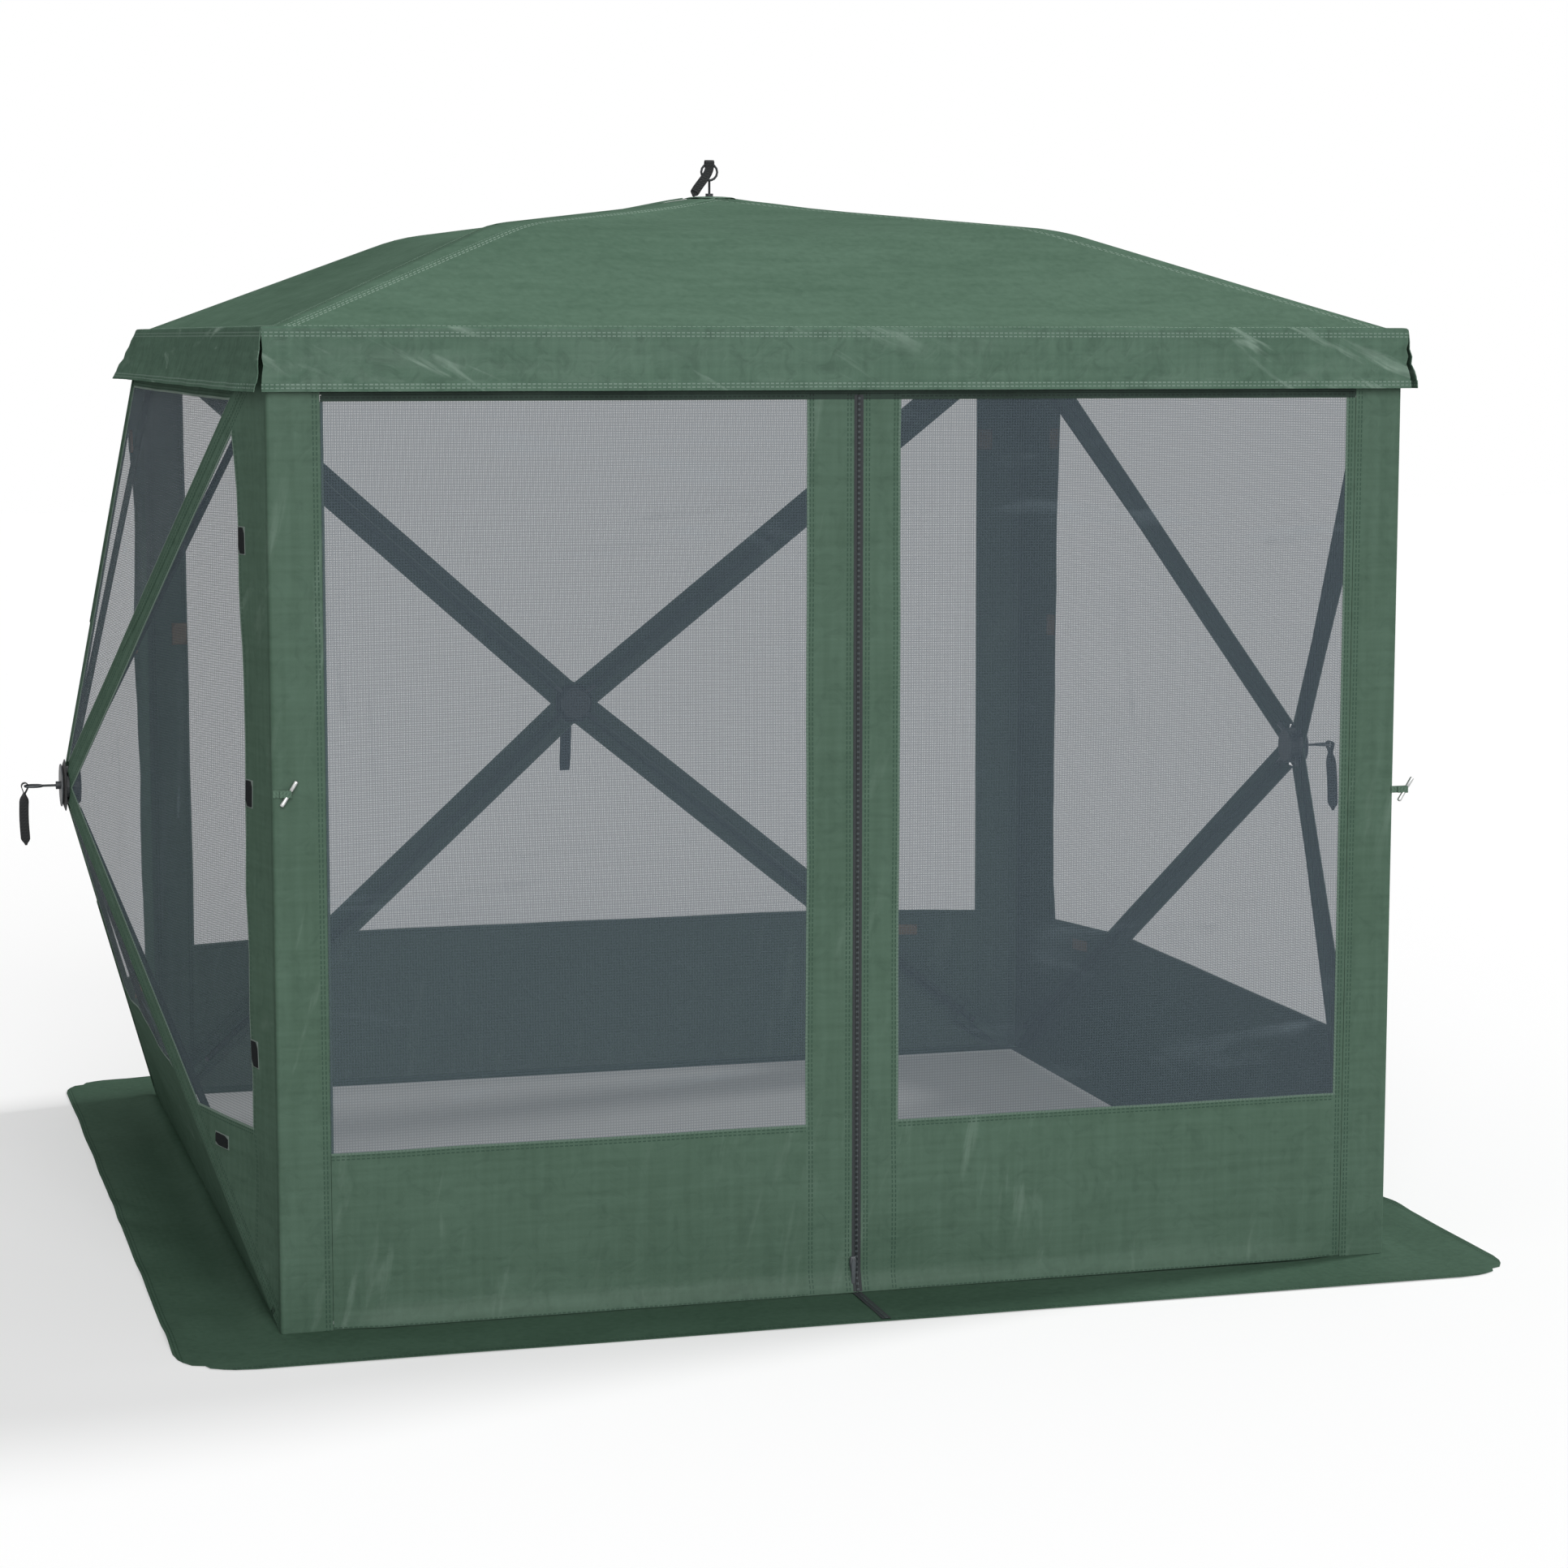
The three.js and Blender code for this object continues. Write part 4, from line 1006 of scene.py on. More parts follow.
def door_leaf(name, sign, window_outer, window_inner):
    x_low, x_high = sorted((sign * 0.0004, sign * (DOOR_OUTER - 0.0006)))
    w_low, w_high = sorted((window_outer, window_inner))
    windows = [((w_low, 0), (1, 0)), ((w_high, 0), (-1, 0)), ((0, DOOR_BAND), (0, 1)),
               ((0, UPPER_BAND), (0, -1))]
    cuts = window_cuts(windows)
    outline = [(x_low, DOOR_FOOT), (x_high, DOOR_FOOT), (x_high, DOOR_TOP), (x_low, DOOR_TOP)]
    for low_cut in (0.012, 0.022, 0.034):
        cuts.append(((0, low_cut), (0, 1)))
    points, faces = cut_flat(outline, cuts, 0.045)

    def depth_at(p):
        return min((p[0] - q[0]) * n[0] + (p[1] - q[1]) * n[1] for q, n in windows)

    cloth, net, picks, places, net_places = [], [], [], [], []
    for k, face in enumerate(faces):
        middle = np.mean([points[i] for i in face], axis=0)
        depth = depth_at(middle)
        if depth > 0:
            net.append(k)
            net_places.append([(*points[i], 0.0) for i in face])
            continue
        cloth.append(k)
        # Index 2 is the nearly black cloth above the window: painted shade of the valance
        picks.append(2 if middle[1] > UPPER_BAND else 1 if depth > -BINDING_WIDTH else 0)
        spots = []
        for i in face:
            x, z = points[i]
            if w_low <= middle[0] <= w_high and middle[1] < DOOR_BAND:
                spots.append((x, DOOR_BAND - z, z - DOOR_FOOT + 0.01))
            elif w_low <= middle[0] <= w_high:
                spots.append((x, z - UPPER_BAND, 0.5))
            else:
                away = w_low - x if middle[0] < w_low else x - w_high
                centre = abs(x) - ZIP_TAPE
                spots.append((z, away, centre if abs(middle[0]) < 0.11 else 0.5))
        places.append(spots)

    def lifted(p):
        x, z = p
        rim = min(abs(x - x_low), abs(x_high - x))
        fade = smooth_step(rim, 0.0, 0.09) * smooth_step(DOOR_TOP - z, 0.0, 0.1)
        seed = Vector((x, z, 5.0))
        ripple = noise.noise(seed * 2.6) * 0.01 + noise.noise(seed * 8.0) * 0.003
        # Upright pleats in the band at the foot, as the door hangs a little full
        pleat = math.sin(x * 31 + 2 * noise.noise(seed * 2)) * 0.003
        pleat *= smooth_step(DOOR_BAND - z, 0.0, 0.2) * smooth_step(z, 0.0, 0.05)
        foot = foot_kick(z)
        foot *= smooth_step(DOOR_OUTER - abs(x), 0.0, 0.1)
        y = fade * (ripple + pleat) * smooth_step(z, 0.0, 0.12) + foot
        return on_front(x, y, z)

    solid_points = [lifted(p) for p in points]
    node = f"door_{name}"
    used, kept = pick_faces(faces, cloth)
    leaf_points = [solid_points[i] for i in used]
    leaf = piece(f"door_{name}_cloth", leaf_points, kept, node,
                 [WALL_CLOTH, BINDING, HEM_PAINTED_SHADE_CLOTH], places, picks=picks,
                 thick=CLOTH)
    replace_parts(leaf, node)
    # The frame of cloth is only 28 percent of the leaf's outline. This area is not a
    # measured one. A sheet may not declare under 30, and the number is raised to that
    # floor.
    used, kept = pick_faces(faces, net)
    net_points = [solid_points[i] for i in used]
    window = piece(f"door_{name}_net", net_points, kept, node, [NETTING],
                   net_places, soft=False)
    # Zip tape with a raised coil along its inner edge
    section = [(0.0003, 0.0014), (0.0006, 0.0034), (0.0016, 0.004), (0.0024, 0.003),
               (0.003, 0.0017), (ZIP_TAPE, 0.0013)]
    rows = 90
    tape_points, spots_at = [], []
    for r in range(rows):
        z = DOOR_FOOT + 0.002 + (DOOR_TOP - DOOR_FOOT - 0.004) * r / (rows - 1)
        foot = foot_kick(z)
        for x, out in section:
            tape_points.append(on_front(sign * x, foot + out, z))
            spots_at.append((z, x, 0.0))
    piece(f"zip_tape_{name}", tape_points, grid_faces(rows, len(section)), node, [ZIP_COIL],
          at=spots_at, thick=0.0006)


for name, (outer_edge, inner_edge) in DOORS.items():
    door_leaf(name, -1 if name == "left" else 1, outer_edge, inner_edge)

# %% [markdown]
# The header is the strip of cloth between the eave and the top of the door. It hangs
# still behind the valance, so a gentle wave is enough. Its hem and the top hem of the
# door are four layers thick. The valance's shade on the header and on the door's top hem
# is painted into their cloth, which is nearly black.

# %% Header


def header():
    columns, rows = 45, 8
    points, places_at = [], []
    for r in range(rows):
        z = HEADER_BOTTOM + 0.0002 + (WALL_TOP - HEADER_BOTTOM - 0.0005) * r / (rows - 1)
        for c in range(columns):
            x = -DOOR_OUTER + 2 * DOOR_OUTER * c / (columns - 1)
            wave = noise.noise(Vector((x * 5, z * 8, 2))) * 0.0025 * smooth_step(
                WALL_TOP - z, 0.0, 0.05) * smooth_step(DOOR_OUTER - abs(x), 0.0, 0.1)
            points.append(on_front(x, wave, z))
            places_at.append((x, z - HEADER_BOTTOM, WALL_TOP - z))
    faces = grid_faces(rows, columns)
    made = piece("front_header_cloth", points, faces, "shelter_frame", [HEM_PAINTED_SHADE_CLOTH],
                 at=places_at, thick=CLOTH)
    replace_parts(made, "front_header")


def header_flap():
    """Flap behind the joint between header and door, so that no light shows through."""
    outer = HALF - FRONT_STRIP - 0.004
    section = [(0.0014, 1.69), (0.0022, 1.675), (0.003, 1.664), (0.003, 1.65)]
    points, places_at = [], []
    for inside, z in section:
        for c in range(23):
            x = -outer + 2 * outer * c / 22
            points.append(on_front(x, -inside, z))
            places_at.append((x, 0.03, 0.5))
    faces = grid_faces(len(section), 23)
    made = piece("front_header_flap", points, faces, "shelter_frame", [HEM_PAINTED_SHADE_CLOTH],
                 at=places_at, thick=0.0008)


def hinge_flap(name, sign):
    """Facing sewn behind a corner strip, so that no light shows past the door's hinge."""
    section = [(0.989, 0.0012), (0.981, 0.0016), (0.973, 0.0024), (0.967, 0.0024)]
    points, places_at = [], []
    for r in range(30):
        z = 0.02 + 1.63 * r / 29
        for x, inside in section:
            points.append(on_front(sign * x, -inside, z))
            places_at.append((z, 0.03, 0.5))
    faces = grid_faces(30, len(section))
    made = piece(f"door_{name}_facing", points, faces, "shelter_frame", [WALL_CLOTH],
                 at=places_at, thick=0.0008)


header()
header_flap()
hinge_flap("left", -1)
hinge_flap("right", 1)
print("door and header pieces", made_count("door") + made_count("header"))

# %% [markdown]
# The roof is a low dome. Its poles bend halfway, so the cloth rises steeply from the
# eave and then runs nearly flat to the hub. The bend is rounded over 80 mm, and
# between the ridges the cloth dips like a saddle because it is stretched both ways.
# Each side is one curved sheet that turns about its eave seam. A reinforcing band
# rides under the seam on each pole.

# %% Roof cloth
LOW_SLOPE = (KNEE - EAVE) / (ROOF_SEAM - KNEE_OUT)
TOP_SLOPE = (PEAK - KNEE) / KNEE_OUT
BEND = 0.04
SADDLE = 0.013
BAND_HALF = 0.046
RIDGE_CLEAR = 0.038  # half the gap between two panels over a ridge
BAND_START = 0.056


def hub_rise(out):
    """The cloth is drawn up a little to the rim of the top plate."""
    return 0.0065 * (1 - smooth_step(out, 0.045, 0.22))


def roof_height(out):
    """Height of the roof cloth at a distance out from the middle of the shelter."""
    away = out - KNEE_OUT
    flat = KNEE - away * (LOW_SLOPE if away > 0 else TOP_SLOPE)
    if abs(away) < BEND:
        flat -= (LOW_SLOPE - TOP_SLOPE) * (BEND - abs(away)) ** 2 / (4 * BEND)
    return flat + hub_rise(out)


def ridge_gap(out):
    """Distance square to the ridge, from the ridge to the roof panel's edge."""
    if out > KNEE_OUT:
        return 0.012 + (RIDGE_CLEAR - 0.012) * (ROOF_SEAM - out) / (ROOF_SEAM - KNEE_OUT)
    return RIDGE_CLEAR


def roof_side(side):
    rows, columns = 44, 45
    tip = RIDGE_CLEAR * math.sqrt(2) + 0.004
    points, places_at = [], []
    for r in range(rows):
        out = tip + (ROOF_SEAM - tip) * r / (rows - 1)
        edge = out - ridge_gap(out) * math.sqrt(2)
        for c in range(columns):
            u = -1 + 2 * c / (columns - 1)
            u = math.copysign(abs(u) ** 0.85, u)
            x = u * edge
            lengthwise = math.sin(math.pi * min(1, (out - tip) / (ROOF_SEAM - tip)))
            dip = SADDLE * (1 - u * u) * lengthwise
            # Drag lines run from the corners in towards the bend
            pull = abs(x) - (ROOF_SEAM - out) * 1.1
            fade = smooth_step(1 - abs(u), 0.0, 0.2) * smooth_step(ROOF_SEAM - out, 0.0, 0.06)
            seed = Vector((x, out, SIDE_TURN[side]))
            crease = math.sin(pull * 26 + 2.2 * noise.noise(seed * 3)) * 0.0022
            crease *= smooth_step(abs(u), 0.15, 0.7) * smooth_step(out, 0.55, 0.8)
            ripple = noise.noise(seed * 2.4) * 0.006 + noise.noise(seed * 7) * 0.002
            z = roof_height(out) + 0.0008 - dip + (ripple + crease) * fade
            points.append(on_side(side, x, out - HALF, z))
            places_at.append((x, ROOF_SEAM - out, (edge - abs(x)) / math.sqrt(2)))
    faces = grid_faces(rows, columns)
    node = f"roof_panel_{side}"
    made = piece(f"roof_{side}_cloth", points, faces, node, [ROOF_CLOTH],
                 at=places_at, thick=0.0014)
    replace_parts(made, node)


def roof_band(name, sign_x, sign_y):
    """Reinforcing band along one ridge, and the channel of its pole."""
    way = Vector((sign_x, sign_y, 0)).normalized()
    square = Vector((-way.y, way.x, 0))
    root = math.sqrt(2)
    outs = np.concatenate([np.linspace(BAND_START / root, KNEE_OUT - BEND, 9),
                           np.linspace(KNEE_OUT - BEND, KNEE_OUT + BEND, 11)[1:],
                           np.linspace(KNEE_OUT + BEND, ROOF_SEAM - 0.004, 11)[1:]])
    shares = [-1, -0.6, -0.3, -0.1, 0, 0.1, 0.3, 0.6, 1]
    points, places_at, run = [], [], 0.0
    for out in outs:
        half = min(ridge_gap(out) + 0.008, BAND_HALF)
        half = min(half, (ROOF_SEAM - out) * root + 0.004 + 0.012)
        for share in shares:
            q = half * share
            reach = out + abs(q) / root
            soft = 0.0016 * (1 - abs(share)) if abs(share) < 0.2 else 0.0
            z = roof_height(min(reach, ROOF_SEAM)) - 0.001 - soft
            if reach > ROOF_SEAM:
                z -= (reach - ROOF_SEAM) * 0.3
            spot = way * (out * root) + square * q
            points.append(Vector((spot.x, spot.y + MIDDLE_Y, z)))
            places_at.append((out * root, half - abs(q), 0.5))
    faces = grid_faces(len(outs), len(shares))
    made = piece(f"roof_band_{name}", points, faces, f"roof_pole_{name}", [ROOF_CLOTH],
                 at=places_at, thick=0.0012)
    # The pole's own line: hub, bend, tip
    end = ROOF_SEAM * root
    tip = end - ROOF_POLE_INSET
    slope = (KNEE - EAVE) / (end - KNEE_OUT * root)
    knots = [(PIVOT, PEAK), (KNEE_OUT * root, KNEE), (tip, EAVE + ROOF_POLE_INSET * slope)]
    centres = []
    for reach in np.linspace(CHANNEL_START, tip - 0.05, 26):
        z = np.interp(reach, *zip(*knots)) - POLE_INSET
        centres.append(Vector((way.x * reach, way.y * reach + MIDDLE_Y, z)))
    channel(f"roof_channel_{name}", f"roof_pole_{name}", centres)


for side in SIDE_TURN:
    roof_side(side)
for name, signs in {"front_left": (-1, -1), "front_right": (1, -1), "back_left": (-1, 1),
                    "back_right": (1, 1)}.items():
    roof_band(name, *signs)


def roof_cap_patch():
    """Round patch of cloth under the top plate."""
    ring, radii = 40, [0.0198, 0.026, 0.033, 0.0415]
    points, places_at = [], []
    for radius in radii:
        for angle in turns(ring):
            x, y = radius * math.cos(angle), radius * math.sin(angle)
            out = max(abs(x), abs(y))
            z = roof_height(out) - hub_rise(out) - 0.0026
            points.append(Vector((x, y + MIDDLE_Y, z)))
            places_at.append((angle * radius, radii[-1] - radius, 0.5))
    faces = grid_faces(len(radii), ring, cyclic=True)
    piece("roof_hub_patch", points, faces, "roof_hub", [ROOF_CLOTH],
          at=places_at, thick=0.001)


def roof_cap_cover():
    """Cap of roof cloth drawn over the top plate, up to the boss of the eye bolt."""
    ring = 48
    section = [(0.0088, 0.0486), (0.02, 0.0486), (0.036, 0.0484), (0.043, 0.0476)]
    section = [(radius, 2.0 + lift) for radius, lift in section]
    for radius in (0.047, 0.051, 0.055):
        section.append((radius, None))
    points, places_at = [], []
    for radius, level in section:
        for angle in turns(ring):
            x, y = radius * math.cos(angle), radius * math.sin(angle)
            z = level
            if z is None:
                share = (radius - 0.043) / 0.012
                edge = roof_height(max(abs(x), abs(y))) + 0.001
                z = 2.0476 + (edge - 2.0476) * smooth_step(share, -0.3, 1.0)
            points.append(Vector((x, y + MIDDLE_Y, z)))
            places_at.append((angle * radius, 0.055 - radius + 0.002, 0.5))
    faces = grid_faces(len(section), ring, cyclic=True)
    made = piece("roof_hub_cap_cloth", points, faces, "roof_hub", [ROOF_CLOTH],
                 at=places_at, thick=0.001)


def wall_cap_patch(wall):
    """Black reinforcing patch over the four tips of cloth, clamped by the outer plate."""
    ring = 40
    section = [(0.0194, -0.0016), (0.03, -0.0016), (0.0385, -0.002), (0.044, -0.0036),
               (0.0485, -0.0052), (0.052, -0.0064)]
    points, places_at = [], []
    for radius, out in section:
        for angle in turns(ring):
            points.append(on_side(wall, radius * math.cos(angle), BULGE + out,
                                  HUB_HEIGHT + radius * math.sin(angle)))
            places_at.append((angle * radius, section[-1][0] - radius, 0.5))
    faces = grid_faces(len(section), ring, cyclic=True)
    piece(f"{wall}_wall_hub_patch", points, faces, f"{wall}_wall_hub", [WEBBING],
          at=places_at, thick=0.001)


roof_cap_patch()
roof_cap_cover()
for wall in WALL_ENDS:
    wall_cap_patch(wall)
print("roof pieces", made_count("roof_"))

# %% [markdown]
# The valance is the loose edge of the roof. It is sewn on at the eave, hangs 107 mm,
# and ends in a turned hem. The hub walls push theirs outward, and it springs back at
# the front corners. Each corner is slit, so the ends lie apart. The solid gives the
# flare; creases that fan out from the corners are added here.

# %% Valance
VALANCE_DROP = 0.107
FRONT_FLARE = 0.013
WALL_FLARE = 0.043
FRONT_CORNER_FLARE = 0.021
BACK_CORNER_FLARE = 0.058
FLARE_REACH = 0.19


def flare_at(side, x):
    """Outward reach of the valance's lower edge at a place along the side."""
    if side == "front":
        return FRONT_FLARE
    start, end = {"back": (BACK_CORNER_FLARE, BACK_CORNER_FLARE),
                  "left": (FRONT_CORNER_FLARE, BACK_CORNER_FLARE),
                  "right": (BACK_CORNER_FLARE, FRONT_CORNER_FLARE)}[side]
    near = 1 - smooth_step(x + HALF, 0, FLARE_REACH)
    far = 1 - smooth_step(HALF - x, 0, FLARE_REACH)
    return WALL_FLARE + (start - WALL_FLARE) * near + (end - WALL_FLARE) * far


def valance_side(side):
    columns = 121
    # Share of the drop, and the height above the eave for the rows on top of the roof
    top_rows = [(-0.007, 0.0037), (0.0, 0.0042), (0.0055, 0.0036), (0.0082, 0.0012)]
    drops = [0.03, 0.1, 0.2, 0.32, 0.45, 0.58, 0.7, 0.8, 0.86, 0.87, 0.93, 0.985, 1.0]
    rows = len(top_rows) + len(drops)
    seed_z = SIDE_TURN[side] * 2 + 1
    points, places_at = [], []
    for r in range(rows):
        for c in range(columns):
            share = c / (columns - 1)
            if r < len(top_rows):
                out, lift = top_rows[r]
                z = EAVE + lift
                run = 0.0
            else:
                drop = drops[r - len(top_rows)]
                z = EAVE - VALANCE_DROP * drop
                guess = (share * 2 - 1) * HALF
                flare = flare_at(side, guess)
                wave = math.sin(share * 2 * HALF / 0.355 * math.pi * 2) * 0.003
                out = 0.0086 + (flare + wave - 0.0086) * drop ** 1.1
                spot = Vector((guess * 6, drop * 1.6, seed_z))
                fan = noise.noise(spot) * 0.005 + noise.noise(spot * 2.7) * 0.002
                # Creases that run down and in from both corners
                for end in (-1, 1):
                    d = HALF - end * guess
                    angle = math.atan2(drop * VALANCE_DROP, d + 0.02)
                    near = smooth_step(0.75 - d, 0.0, 0.6)
                    fan += math.sin(angle * 34 + 3 * noise.noise(spot * 0.7)) * 0.0022 * near
                out += fan * smooth_step(drop, 0.02, 0.35) * 0.8
                if 0.865 < drop:
                    out += 0.0009  # hem turned outward
                run = VALANCE_DROP * drop
            end = HALF + min(out, 0.06) - 0.001
            slit = 0.004 * smooth_step(run, 0.01, VALANCE_DROP) if run else 0.0
            x = (share * 2 - 1) * (end - slit)
            points.append(on_side(side, x, out, z))
            places_at.append((x, run + 0.0005, VALANCE_DROP - run))
    faces = grid_faces(rows, columns)
    node = f"valance_{side}"
    made = piece(f"{node}_cloth", points, faces, "shelter_frame", [VALANCE_CLOTH],
                 at=places_at, thick=0.0016)
    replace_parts(made, node)


for side in SIDE_TURN:
    valance_side(side)
print("valances", len(SIDE_TURN))

# %% [markdown]
# The skirt lies on the ground outside the walls, to be weighed down against draughts.
# It is cut in four sides that meet on mitres under the corners. Ground cloth never lies
# quite flat, so the sheet ripples by a few millimetres, less at the door where the
# leaves sweep over it, and its inner edge turns up against the wall.

# %% Ground skirt
SKIRT_ROUND = 0.13
SKIRT_TUCK = 0.02


def skirt_end(out):
    """How far a side reaches beyond the corner seam at a distance outward."""
    centre = SKIRT - SKIRT_ROUND
    if out <= centre + SKIRT_ROUND / math.sqrt(2):
        return out
    return centre + math.sqrt(max(SKIRT_ROUND ** 2 - (out - centre) ** 2, 0.0))


def skirt_side(name, side, x_low_mitre, x_high_mitre):
    """x_low_mitre and x_high_mitre say which ends run out to a round corner."""
    door_side = side == "front"
    outs = [-SKIRT_TUCK, -0.012, -0.006, -0.002, 0.004, 0.012, 0.025, 0.045, 0.07, 0.1, 0.13,
            0.155, 0.175, 0.188, 0.195, SKIRT]
    columns = 90
    points, places_at = [], []
    for out in outs:
        for c in range(columns):
            share = c / (columns - 1)
            low = -(HALF + skirt_end(out)) + 0.0002 if x_low_mitre else 0.0002
            high = HALF + skirt_end(out) - 0.0002 if x_high_mitre else -0.0002
            x = low + (high - low) * share
            seed = Vector((x * 3.2, out * 9, SIDE_TURN[side] + 7))
            if door_side:
                lift = 0.0002 + 0.0012 * (0.5 + noise.noise(seed))
                lift += 0.008 * smooth_step(-out, 0.003, 0.009) * smooth_step(
                    out + SKIRT_TUCK, 0.0, 0.006)
            else:
                swell = 0.5 + 0.5 * math.sin(x * 17 + 3 * noise.noise(seed))
                lift = 0.0075 * swell * smooth_step(out, 0.06, 0.2) * (
                    0.4 + 0.6 * abs(noise.noise(seed * 1.3)) * 2)
                lift += 0.011 * smooth_step(0.05 - out, 0.0, 0.04) * smooth_step(
                    out, -SKIRT_TUCK, 0.008)
                lift *= smooth_step(min(x - low, high - x), 0.0, 0.1)
            points.append(on_side(side, x, out, 0.0016 + lift))
            places_at.append((x, SKIRT - out, 0.5))
    faces = grid_faces(len(outs), columns)
    made = piece(f"{name}_cloth", points, faces, "shelter_frame", [SKIRT_CLOTH],
                 at=places_at, thick=0.0014)
    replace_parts(made, name)


skirt_side("skirt_back", "back", True, True)
skirt_side("skirt_left", "left", True, True)
skirt_side("skirt_right", "right", True, True)
skirt_side("skirt_front_right", "front", True, False)
skirt_side("skirt_front_left", "front", False, True)


def ground_zip():
    """The door's zip runs on across the skirt, flat on the ground."""
    section = [(-ZIP_TAPE, 0.0), (-0.003, 0.0003), (-0.0016, 0.0012), (0.0, 0.0009),
               (0.0016, 0.0012), (0.003, 0.0003), (ZIP_TAPE, 0.0)]
    rows, points, spots_at = 24, [], []
    for r in range(rows):
        out = 0.004 + (SKIRT - 0.012) * r / (rows - 1)
        for x, lift in section:
            points.append(on_front(x, out, 0.0044 + lift))
            spots_at.append((out, abs(x), 0.0))
    faces = grid_faces(rows, len(section))
    piece("zip_tape_ground", points, faces, "shelter_frame", [ZIP_COIL],
          at=spots_at, thick=0.0005)


ground_zip()
print("skirts", made_count("skirt"))

# %% [markdown]
# The hubs, poles and eye bolts keep their solids: their turned and moulded shapes are
# right. They only need finer finishes than flat colour, and rounder shading.

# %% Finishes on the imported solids
for name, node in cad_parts.items():
    if "pole" in name:
        look = FIBREGLASS
    elif name == "roof_pull_ring":
        look = BLACKENED
    elif name.endswith("_hub"):
        look = NYLON
    else:
        continue
    node.data.materials.clear()
    node.data.materials.append(look)
    for polygon in node.data.polygons:
        polygon.use_smooth = True
    node.data.set_sharp_from_angle(angle=math.radians(30))
print("finished solids", sum("pole" in n or n.endswith("_hub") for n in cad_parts))

# %% [markdown]
# Each hub has a pull strap: webbing passed through the ring, doubled and sewn down.
# The strap is a ribbon with thickness that follows the real path: up the front, over
# the wire, and down the back. Hanging free, it twists below the ring, so each cross
# section has its own direction of width. Its end is heat-sealed: cut to a point, and at
# the back wall, where the webbing lies spread, cut square.

# %% Pull straps
STRAP_WIDTH = 0.0185
STRAP_LOOP = 0.0068  # wire's middle to the middle of the webbing
STRAP_GAP = 0.0011  # half the distance between the two layers
WEB = 0.0013


def ribbon(name, body, path, wides, widths, thick, look):
    """A strap along a path, with its direction of width and its width at each point."""
    points, places_at, run = [], [], 0.0
    shares = [-1, -0.8, -0.35, 0, 0.35, 0.8, 1]
    for i, spot in enumerate(path):
        before, after = path[max(i - 1, 0)], path[min(i + 1, len(path) - 1)]
        normal = (after - before).normalized().cross(wides[i]).normalized()
        if i:
            run += (spot - path[i - 1]).length
        for share in shares:
            crown = thick * 0.12 * (1 - share * share)
            points.append(spot + wides[i] * (widths[i] / 2 * share) + normal * crown)
            places_at.append((run, widths[i] / 2 * share, 0.0))
    faces = grid_faces(len(path), len(shares))
    return piece(name, points, faces, body, [look], at=places_at, thick=thick)


def pull_strap(name, body, centre, core_at, wide_at, spread=1.0):
    """centre is the middle of the wire. core_at(t) is the strap's middle line, from the
    wire, t = 0, to its tip, t = 1, and wide_at(t) its direction of width."""
    path, wides, widths = [], [], []
    below = (core_at(0.02) - core_at(0)).normalized()
    wide = wide_at(0)
    away = wide.cross(below).normalized()

    def layer(t, side):
        way = (core_at(min(t + 0.02, 1.0)) - core_at(max(t - 0.02, 0.0))).normalized()
        here = wide_at(t)
        path.append(core_at(t) + here.cross(way).normalized() * side * STRAP_GAP)
        wides.append(here)
        cut = 0.8 if spread < 1.4 else 0.1
        narrow = 1 - cut + cut * smooth_step(1 - t, 0.0, 0.11)
        flat = 1 + (spread - 1) * smooth_step(t, 0.05, 0.35)
        widths.append(STRAP_WIDTH * flat * (narrow if side > 0 else 1.0))

    for i in range(25):
        layer(1 - 0.88 * i / 24, 1)
    for i in range(13):
        angle = math.radians(-20 + 220 * i / 12)
        path.append(centre + away * (STRAP_LOOP * math.cos(angle))
                    - below * (STRAP_LOOP * math.sin(angle)))
        wides.append(wide)
        widths.append(STRAP_WIDTH)
    for i in range(17):
        layer(0.12 + 0.74 * i / 16, -1)
    return ribbon(name, body, path, wides, widths, WEB, WEBBING)


# Length below the ring, twist in degrees from the ring to the tip, how far the webbing
# spreads below the ring, where it lies bunched, and how far its tip leans outward
STRAPS = {"left": (0.119, 82, 1.0, 0.0), "back": (0.18, 8, 1.5, 0.026),
          "right": (0.148, 55, 1.2, 0.01)}
for wall, (reach, twist, spread, lean) in STRAPS.items():
    turn = Matrix.Rotation(SIDE_TURN[wall], 3, "Z")
    centre = on_side(wall, 0, BULGE + RING_OUT + 0.017, HUB_HEIGHT)
    along, outward = turn @ Vector((1, 0, 0)), turn @ Vector((0, 1, 0))

    def core_at(t, c=centre, out=outward, length=reach, tip=lean):
        sway = math.sin(math.pi * t) * 0.003 + tip * t ** 1.5
        return c + Vector((0, 0, -length * t)) + out * sway

    def wide_at(t, w=along, out=outward, degrees=twist):
        angle = math.radians(degrees) * smooth_step(t, 0.1, 0.3)
        return w * math.cos(angle) + out * math.sin(angle)

    body = f"{wall}_wall_pull_strap"
    strap = pull_strap(f"{wall}_wall_strap", body, centre, core_at, wide_at, spread)
    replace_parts(strap, body)

roof_wire = Vector((0, MIDDLE_Y, PEAK + RING_OUT + 0.017))


def roof_core(t):
    return roof_wire + Vector((-0.04 * smooth_step(t, 0.05, 1.1), -0.02 * t ** 0.8,
                               -0.068 * t))


def roof_wide(t):
    angle = math.radians(26) * smooth_step(t, 0.1, 0.5)
    return Vector((math.cos(angle), 0, -math.sin(angle)))


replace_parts(pull_strap("roof_strap", "roof_pull_strap", roof_wire, roof_core, roof_wide),
            "roof_pull_strap")
print("straps", made_count("_strap"))

# %% [markdown]
# A toggle at each front corner ties the rolled door back: a short loop of green tape
# with a plated bar through its end. The zip slider is a die-cast body with a pull tab.

# %% Toggles and slider
TOGGLES = {"left": (-HALF, 0.97), "right": (HALF - 0.004, 0.908)}
TOGGLE_STRAP = 0.028
BAR_LENGTH = 0.053
BAR_RADIUS = 0.004
BAR_TILT = math.radians(58)


